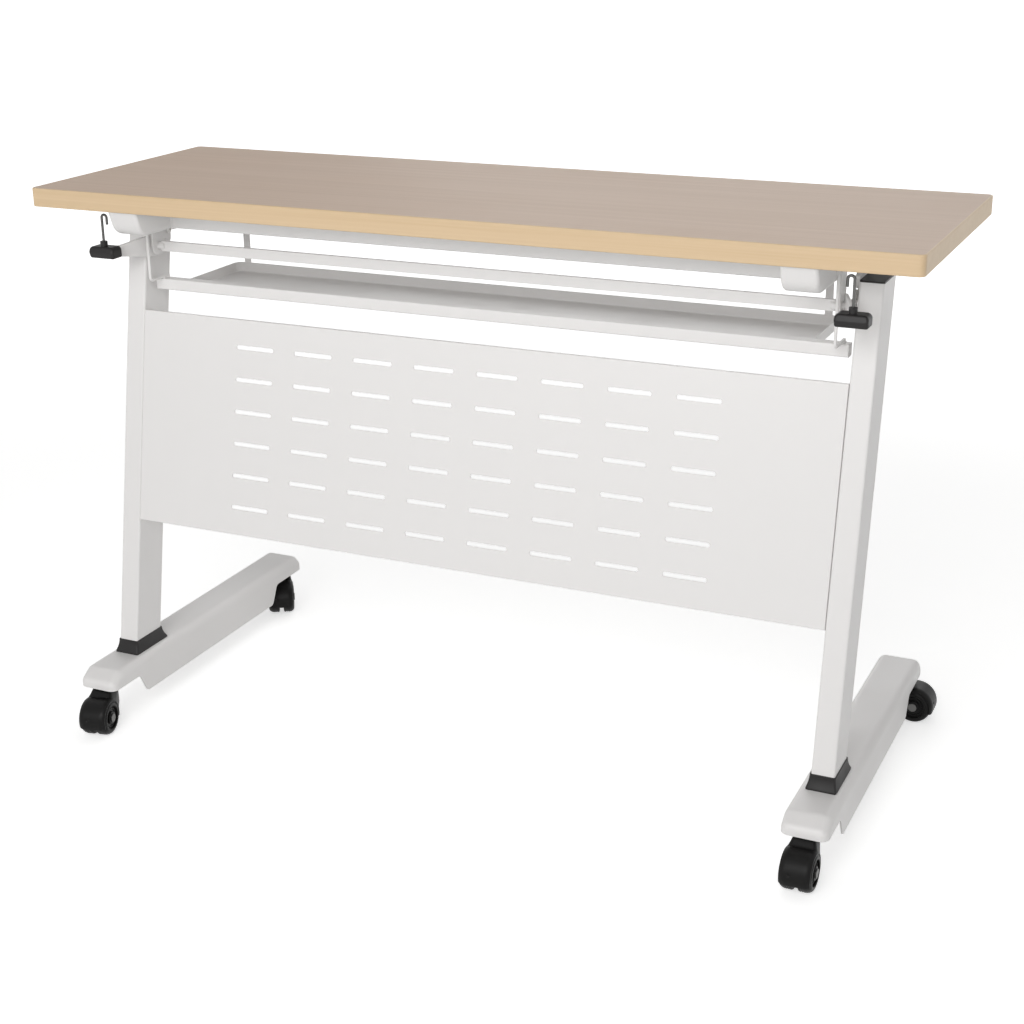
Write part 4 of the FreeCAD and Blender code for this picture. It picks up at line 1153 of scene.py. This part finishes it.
@dataclass
class FlaredCollar:
    """The moulded shroud at a post's foot: a thin lip, a hollow flare and a rounded top."""

    node: str
    body: str = "frame"
    lip_share: float = 0.1
    hollow: float = 1.9
    corner: float = 0.0028
    inner_corner: float = 0.0012
    top_round: float = 0.0009
    corner_steps: int = 6
    steps: int = 12

    def build(self) -> None:
        """Builds the collar in place of its node."""
        points = points_of(self.node)
        low = min(point.z for point in points)
        high = max(point.z for point in points)
        foot, foot_hole = self.edges(points, low)
        crown, crown_hole = self.edges(points, high)
        shape = bmesh.new()
        loops = [self.loop(shape, foot, low, self.corner)]
        for share in spaced(self.lip_share, 1.0, self.steps):
            spread = ((1.0 - share) / (1.0 - self.lip_share)) ** self.hollow
            box = [one + (other - one) * spread for one, other in zip(crown, foot)]
            height = low + (high - self.top_round - low) * share
            loops.append(self.loop(shape, box, height, self.corner))
        inward = (1.0, 1.0, -1.0, -1.0)
        brim = [edge + way * self.top_round for edge, way in zip(crown, inward)]
        loops.append(self.loop(shape, brim, high, self.corner))
        loops.append(self.loop(shape, crown_hole, high, self.inner_corner))
        loops.append(self.loop(shape, foot_hole, low, self.inner_corner))
        loft(shape, loops + loops[:1])
        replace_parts(add_piece(self.node + "_moulding", shape, "black_plastic", self.body), self.node)

    def edges(self, points: list[Vector], height: float) -> tuple[list[float], list[float]]:
        """Finds the outer and inner edges of the CAD collar at one of its ends.

        Args:
            points: the CAD node's points.
            height: the end's height.

        Returns:
            The outside's and the opening's low x, low y, high x and high y.
        """
        level = [point for point in points if round(point.z - height, SAME_PLACES) == 0.0]
        xs = sorted({round(point.x, SAME_PLACES) for point in level})
        ys = sorted({round(point.y, SAME_PLACES) for point in level})
        return [xs[0], ys[0], xs[-1], ys[-1]], [xs[1], ys[1], xs[-2], ys[-2]]

    def loop(self, shape: Shape, box: list[float], height: float, radius: float) -> Loop:
        """Adds a level loop with rounded corners.

        Args:
            shape: the shape that the points go into.
            box: the loop's low x, low y, high x and high y.
            height: how high it lies.
            radius: the corners' radius.

        Returns:
            The loop's points in order.
        """
        low_x, low_y, high_x, high_y = box
        corners = (
            (high_x, high_y, 1.0, 1.0),
            (low_x, high_y, -1.0, 1.0),
            (low_x, low_y, -1.0, -1.0),
            (high_x, low_y, 1.0, -1.0),
        )
        loop = []
        for number, (x, y, right, far) in enumerate(corners):
            centre = Vector((x - right * radius, y - far * radius, height))
            for turn in spaced(QUARTER_TURN * number, QUARTER_TURN * (number + 1), self.corner_steps):
                loop.append(shape.verts.new(centre + Vector((math.cos(turn), math.sin(turn), 0.0)) * radius))
        return loop


@dataclass
class ReleaseCrank:
    """The crank from the release bar to a handle: it deepens towards its root, which saddles the journal."""

    node: str
    body: str = "release_lever"
    journal: float = 0.0053
    deepen: float = 0.008
    trim: float = 0.0002
    edge_round: float = 0.001
    arm_steps: int = 24
    saddle_steps: int = 8
    round_steps: int = 4

    def build(self) -> None:
        """Builds the crank in place of its node."""
        points = points_of(self.node)
        low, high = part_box(self.node)
        front = [point.x for point in points if point.y < low.y + self.trim]
        back = [point.x for point in points if point.y > high.y - self.trim]
        shape = bmesh.new()
        loops = []
        for tip, root, inward in ((min(front), min(back), 1.0), (max(front), max(back), -1.0)):
            rows = []
            for sine, cosine in quarter(self.round_steps):
                inset = (1.0 - sine) * self.edge_round
                depth = self.trim + (1.0 - cosine) * self.edge_round
                row = []
                for y, z in self.outline(low, high, inset):
                    x = tip + (root - tip) * (y - low.y) / (high.y - low.y) + inward * depth
                    row.append(shape.verts.new((x, y, z)))
                rows.append(row)
            self.cap(shape, rows[0])
            loops += rows if inward > 0.0 else rows[::-1]
        loft(shape, loops)
        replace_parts(add_piece(self.node + "_pressing", shape, "white_paint", self.body), self.node)

    def outline(self, low: Vector, high: Vector, inset: float) -> Points:
        """The crank seen from its side, once round: over the top, round the saddle and back below.

        Args:
            low: the CAD crank's low corner.
            high: its high corner.
            inset: how far the outline is drawn in.

        Returns:
            Places along Y and Z.
        """
        middle = (low.z + high.z) / 2.0
        half = (high.z - low.z) / 2.0 - inset
        radius = self.journal + inset
        turns = spaced(math.pi, math.acos(-inset / radius), self.saddle_steps)
        saddle = [(high.y + radius * math.cos(turn), radius * math.sin(turn)) for turn in turns]
        apex = saddle[0][0]
        ys = spaced(low.y + inset, apex, self.arm_steps) + [y for y, _ in saddle[1:]]
        upper = [(y, half + self.deepen * eased((y - low.y) / (high.y - low.y))) for y in ys]
        above = upper + saddle[::-1]
        below = saddle[1:] + upper[::-1]
        return [(y, middle + rise) for y, rise in above] + [(y, middle - rise) for y, rise in below]

    def cap(self, shape: Shape, loop: Loop) -> None:
        """Closes one side of the crank with faces between its edges and round its saddle.

        Args:
            shape: the shape that the faces go into.
            loop: the side's outline.
        """
        arm, saddle = self.arm_steps, self.saddle_steps
        count = arm + saddle + 1
        upper = loop[:count]
        lower = loop[:-count - 1:-1]
        over = loop[count:count + saddle + 1][::-1]
        under = loop[count + saddle:-count]
        strip(shape, upper[:arm], lower[:arm])
        shape.faces.new((upper[arm - 1], upper[arm], over[0]))
        shape.faces.new((upper[arm - 1], over[0], lower[arm - 1]))
        shape.faces.new((lower[arm - 1], under[0], lower[arm]))
        strip(shape, upper[arm:], over)
        strip(shape, lower[arm:], under)


@dataclass
class WeldBead:
    """A rippled weld along a path of straight runs, painted over with its frame."""

    path: Sequence[Vector]
    radius: float
    ripple: float = 0.0022
    ripple_share: float = 0.18
    end_share: float = 0.45
    sides: int = 10
    steps: int = 5

    def points(self) -> list[Vector]:
        """Places along the path, several to a ripple.

        Returns:
            The places in order.
        """
        places = []
        for start, end in zip(self.path, self.path[1:]):
            count = max(2, round((end - start).length * self.steps / self.ripple))
            places += [start.lerp(end, i / count) for i in range(count)]
        return places + [self.path[-1]]

    def add_to(self, shape: Shape) -> None:
        """Adds the bead as a closed tube that swells with each ripple.

        Args:
            shape: the shape to add to.
        """
        places = self.points()
        last = len(places) - 1
        loops = []
        for i, point in enumerate(places):
            way = places[min(i + 1, last)] - places[max(i - 1, 0)]
            swell = 1.0 + self.ripple_share * math.sin(math.tau * i / self.steps)
            taper = self.end_share if i in (0, last) else 1.0
            loops.append(ring(shape, looking(point, way), self.radius * swell * taper, 0.0, self.sides))
        loft(shape, loops)
        shape.faces.new(loops[0])
        shape.faces.new(loops[-1])


@dataclass
class Welds:
    """The welds that join the swinging frame's steel."""

    body: str = "top"
    bead: float = 0.0016
    run: float = 0.018
    low_gap_share: float = 3.0
    high_gap_share: float = 2.0
    crease: float = 60.0

    def build(self) -> None:
        """Builds all the beads as one piece."""
        shape = bmesh.new()
        for path in self.beam_paths() + self.bracket_paths() + self.hanger_paths():
            WeldBead([Vector(point) for point in path], self.bead).add_to(shape)
        add_piece("frame_weld_beads", shape, "white_paint", self.body, self.crease)

    def beam_paths(self) -> list[tuple[Triple, ...]]:
        """Round three sides of each end of the cross beam.

        Returns:
            A path for each end.
        """
        low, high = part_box("cross_beam")
        corners = ((low.y, high.z), (low.y, low.z), (high.y, low.z), (high.y, high.z))
        return [tuple((x, y, z) for y, z in corners) for x in (low.x, high.x)]

    def bracket_paths(self) -> list[tuple[Triple, ...]]:
        """Up both edges of each latch bracket, where it lies on its arm.

        Returns:
            A path for each edge.
        """
        paths = []
        for side in SIDES:
            low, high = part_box(f"{side}_latch_bracket")
            arm_low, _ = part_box(f"{side}_arm")
            x = low.x if side == "right" else high.x
            foot = arm_low.z + self.bead * self.low_gap_share
            head = high.z - self.bead * self.high_gap_share
            paths += [((x, y, foot), (x, y, head)) for y in (low.y, high.y)]
        return paths

    def hanger_paths(self) -> list[tuple[Triple, ...]]:
        """Where each hanger wire lies on its arm and on the rail.

        Returns:
            A path for each side of each seat.
        """
        paths = []
        rail_low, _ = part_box("shelf_rail")
        for side in SIDES:
            low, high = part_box(f"{side}_front_hanger")
            x = low.x if side == "right" else high.x
            wire = high.x - low.x
            foot, head = high.z - self.run, high.z - self.bead
            paths += [((x, y, foot), (x, y, head)) for y in (low.y, low.y + wire)]
            near, far = rail_low.y + self.bead, high.y - self.bead
            paths += [((edge, near, low.z), (edge, far, low.z)) for edge in (low.x, high.x)]
        return paths


@dataclass(frozen=True)
class SoftBox:
    """One square lamp: its name, where it hangs, its side and its power in watts."""

    name: str
    place: Triple
    side: float
    power: float


@dataclass
class Studio:
    """The floor, the light and the camera at the photograph's angle."""

    eye: Triple = (0.97488, -2.04909, 1.15557)
    tilt: Triple = (69.8706, 0.6671, 24.5531)
    lens: float = 61.81
    sensor: float = 36.0
    aim: Triple = (0.0, 0.0, 0.45)
    lamps: tuple[SoftBox, ...] = (
        SoftBox("key", (0.5, -2.8, 2.0), 1.5, 37.0),
        SoftBox("fill", (-0.6, -3.1, 1.5), 1.6, 12.0),
        SoftBox("back", (-0.4, 3.3, 1.8), 3.0, 24.0),
    )
    floor_half: float = 30.0
    floor_colour: Triple = (0.86, 0.86, 0.855)
    floor_roughness: float = 0.9
    floor_shine: float = 0.1
    floor_band: Band = (1.4, 4.5)
    near_glow: float = 0.56
    far_glow: float = 1.0
    sky_colour: Triple = (1.0, 1.0, 1.0)
    sky_band: Band = (0.0, 0.55)
    horizon_strength: float = 1.18
    zenith_strength: float = 0.22

    def build(self) -> None:
        """Makes the whole studio."""
        scene = bpy.context.scene
        scene.view_settings.view_transform = "Standard"
        self.floor()
        self.sky()
        for box in self.lamps:
            self.hang(box)
        camera = show("camera", bpy.data.cameras.new("camera"))
        camera.data.lens = self.lens
        camera.data.sensor_width = self.sensor
        camera.location = self.eye
        camera.rotation_euler = [math.radians(angle) for angle in self.tilt]
        scene.camera = camera

    def hang(self, box: SoftBox) -> None:
        """Hangs one lamp that looks at the table's middle.

        Args:
            box: the lamp.
        """
        light = bpy.data.lights.new(box.name, "AREA")
        light.size = box.side
        light.energy = box.power
        lamp = show(box.name, light)
        lamp.location = box.place
        lamp.rotation_euler = (Vector(box.place) - Vector(self.aim)).to_track_quat("Z", "Y").to_euler()

    def seen(self, tree: Tree) -> Socket:
        """A mask of the rays that show the background: camera, glossy and transmitted.

        Args:
            tree: the material's tree.

        Returns:
            The mask's socket.
        """
        path = tree.add("LightPath").outputs
        most = tree.math("MAXIMUM", path["Is Camera Ray"], path["Is Glossy Ray"])
        return tree.math("MAXIMUM", most, path["Is Transmission Ray"])

    def floor(self) -> None:
        """Lays a wide pale floor that keeps the table's shadow."""
        mesh = bpy.data.meshes.new("floor")
        half = self.floor_half
        corners = [(-half, -half, 0.0), (half, -half, 0.0), (half, half, 0.0), (-half, half, 0.0)]
        mesh.from_pydata(corners, [], [(0, 1, 2, 3)])
        floor = show("floor", mesh)
        material = bpy.data.materials.new("pale_floor")
        material.use_nodes = True
        tree = Tree(material.node_tree)
        place = tree.add("TexCoord").outputs["Object"]
        reach = tree.add("VectorMath", {"operation": "LENGTH"}, Vector=place)
        glow = tree.ramp(reach.outputs["Value"], self.floor_band, self.near_glow, self.far_glow)
        shown = tree.math("MULTIPLY", self.seen(tree), glow)
        shader = tree.find("BSDF_PRINCIPLED")
        tree.fill(shader, Base_Color=self.floor_colour, Roughness=self.floor_roughness)
        tree.fill(shader, Specular_IOR_Level=self.floor_shine)
        tree.fill(shader, Emission_Color=self.sky_colour, Emission_Strength=shown)
        mesh.materials.append(material)

    def sky(self) -> None:
        """Lights the table from all round, most from low down, and shows white behind it."""
        world = bpy.data.worlds.new("studio")
        world.use_nodes = True
        bpy.context.scene.world = world
        tree = Tree(world.node_tree)
        way = tree.add("SeparateXYZ", Vector=tree.add("TexCoord").outputs["Generated"])
        light = tree.ramp(way.outputs["Z"], self.sky_band, self.horizon_strength, self.zenith_strength)
        strength = tree.math("MAXIMUM", self.seen(tree), light)
        tree.fill(tree.find("BACKGROUND"), Color=self.sky_colour, Strength=strength)


def main() -> None:
    """Dresses the table, then sets up the studio round it."""
    logging.basicConfig(level=logging.INFO, format="%(message)s")
    dress_nodes()
    for heads in (
        Heads("panel_screws", "frame", Drive.CROSS, Facing.INWARD, radius=0.005, height=0.0025),
        Heads("ear_bolts", "frame", Drive.HEX, Facing.INWARD, radius=0.0055, height=0.003),
        Heads("post_base_bolts", "frame", Drive.HEX, Facing.DOWN, radius=0.0065, height=0.005),
        Heads("arm_screws", "top", Drive.CROSS, Facing.DOWN, radius=0.005, height=0.0025),
    ):
        heads.build()
    joints = {joint["name"]: joint for joint in frame["joints"]}
    for end in ("front", "rear"):
        for side in SIDES:
            caster = f"{side}_{end}"
            for wheel, outward in (("_wheel_a", 1.0), ("_wheel_b", -1.0)):
                CasterWheel(caster + wheel, joints[caster + wheel + "_roll"], outward).build()
            CasterHood(caster, joints[caster + "_swivel"], joints[caster + "_wheel_a_roll"]).build()
    for side in SIDES:
        FlaredCollar(f"{side}_post_collar").build()
        ReleaseCrank(f"{side}_release_arm").build()
    Welds().build()
    Studio().build()


if __name__ == "__main__":
    main()
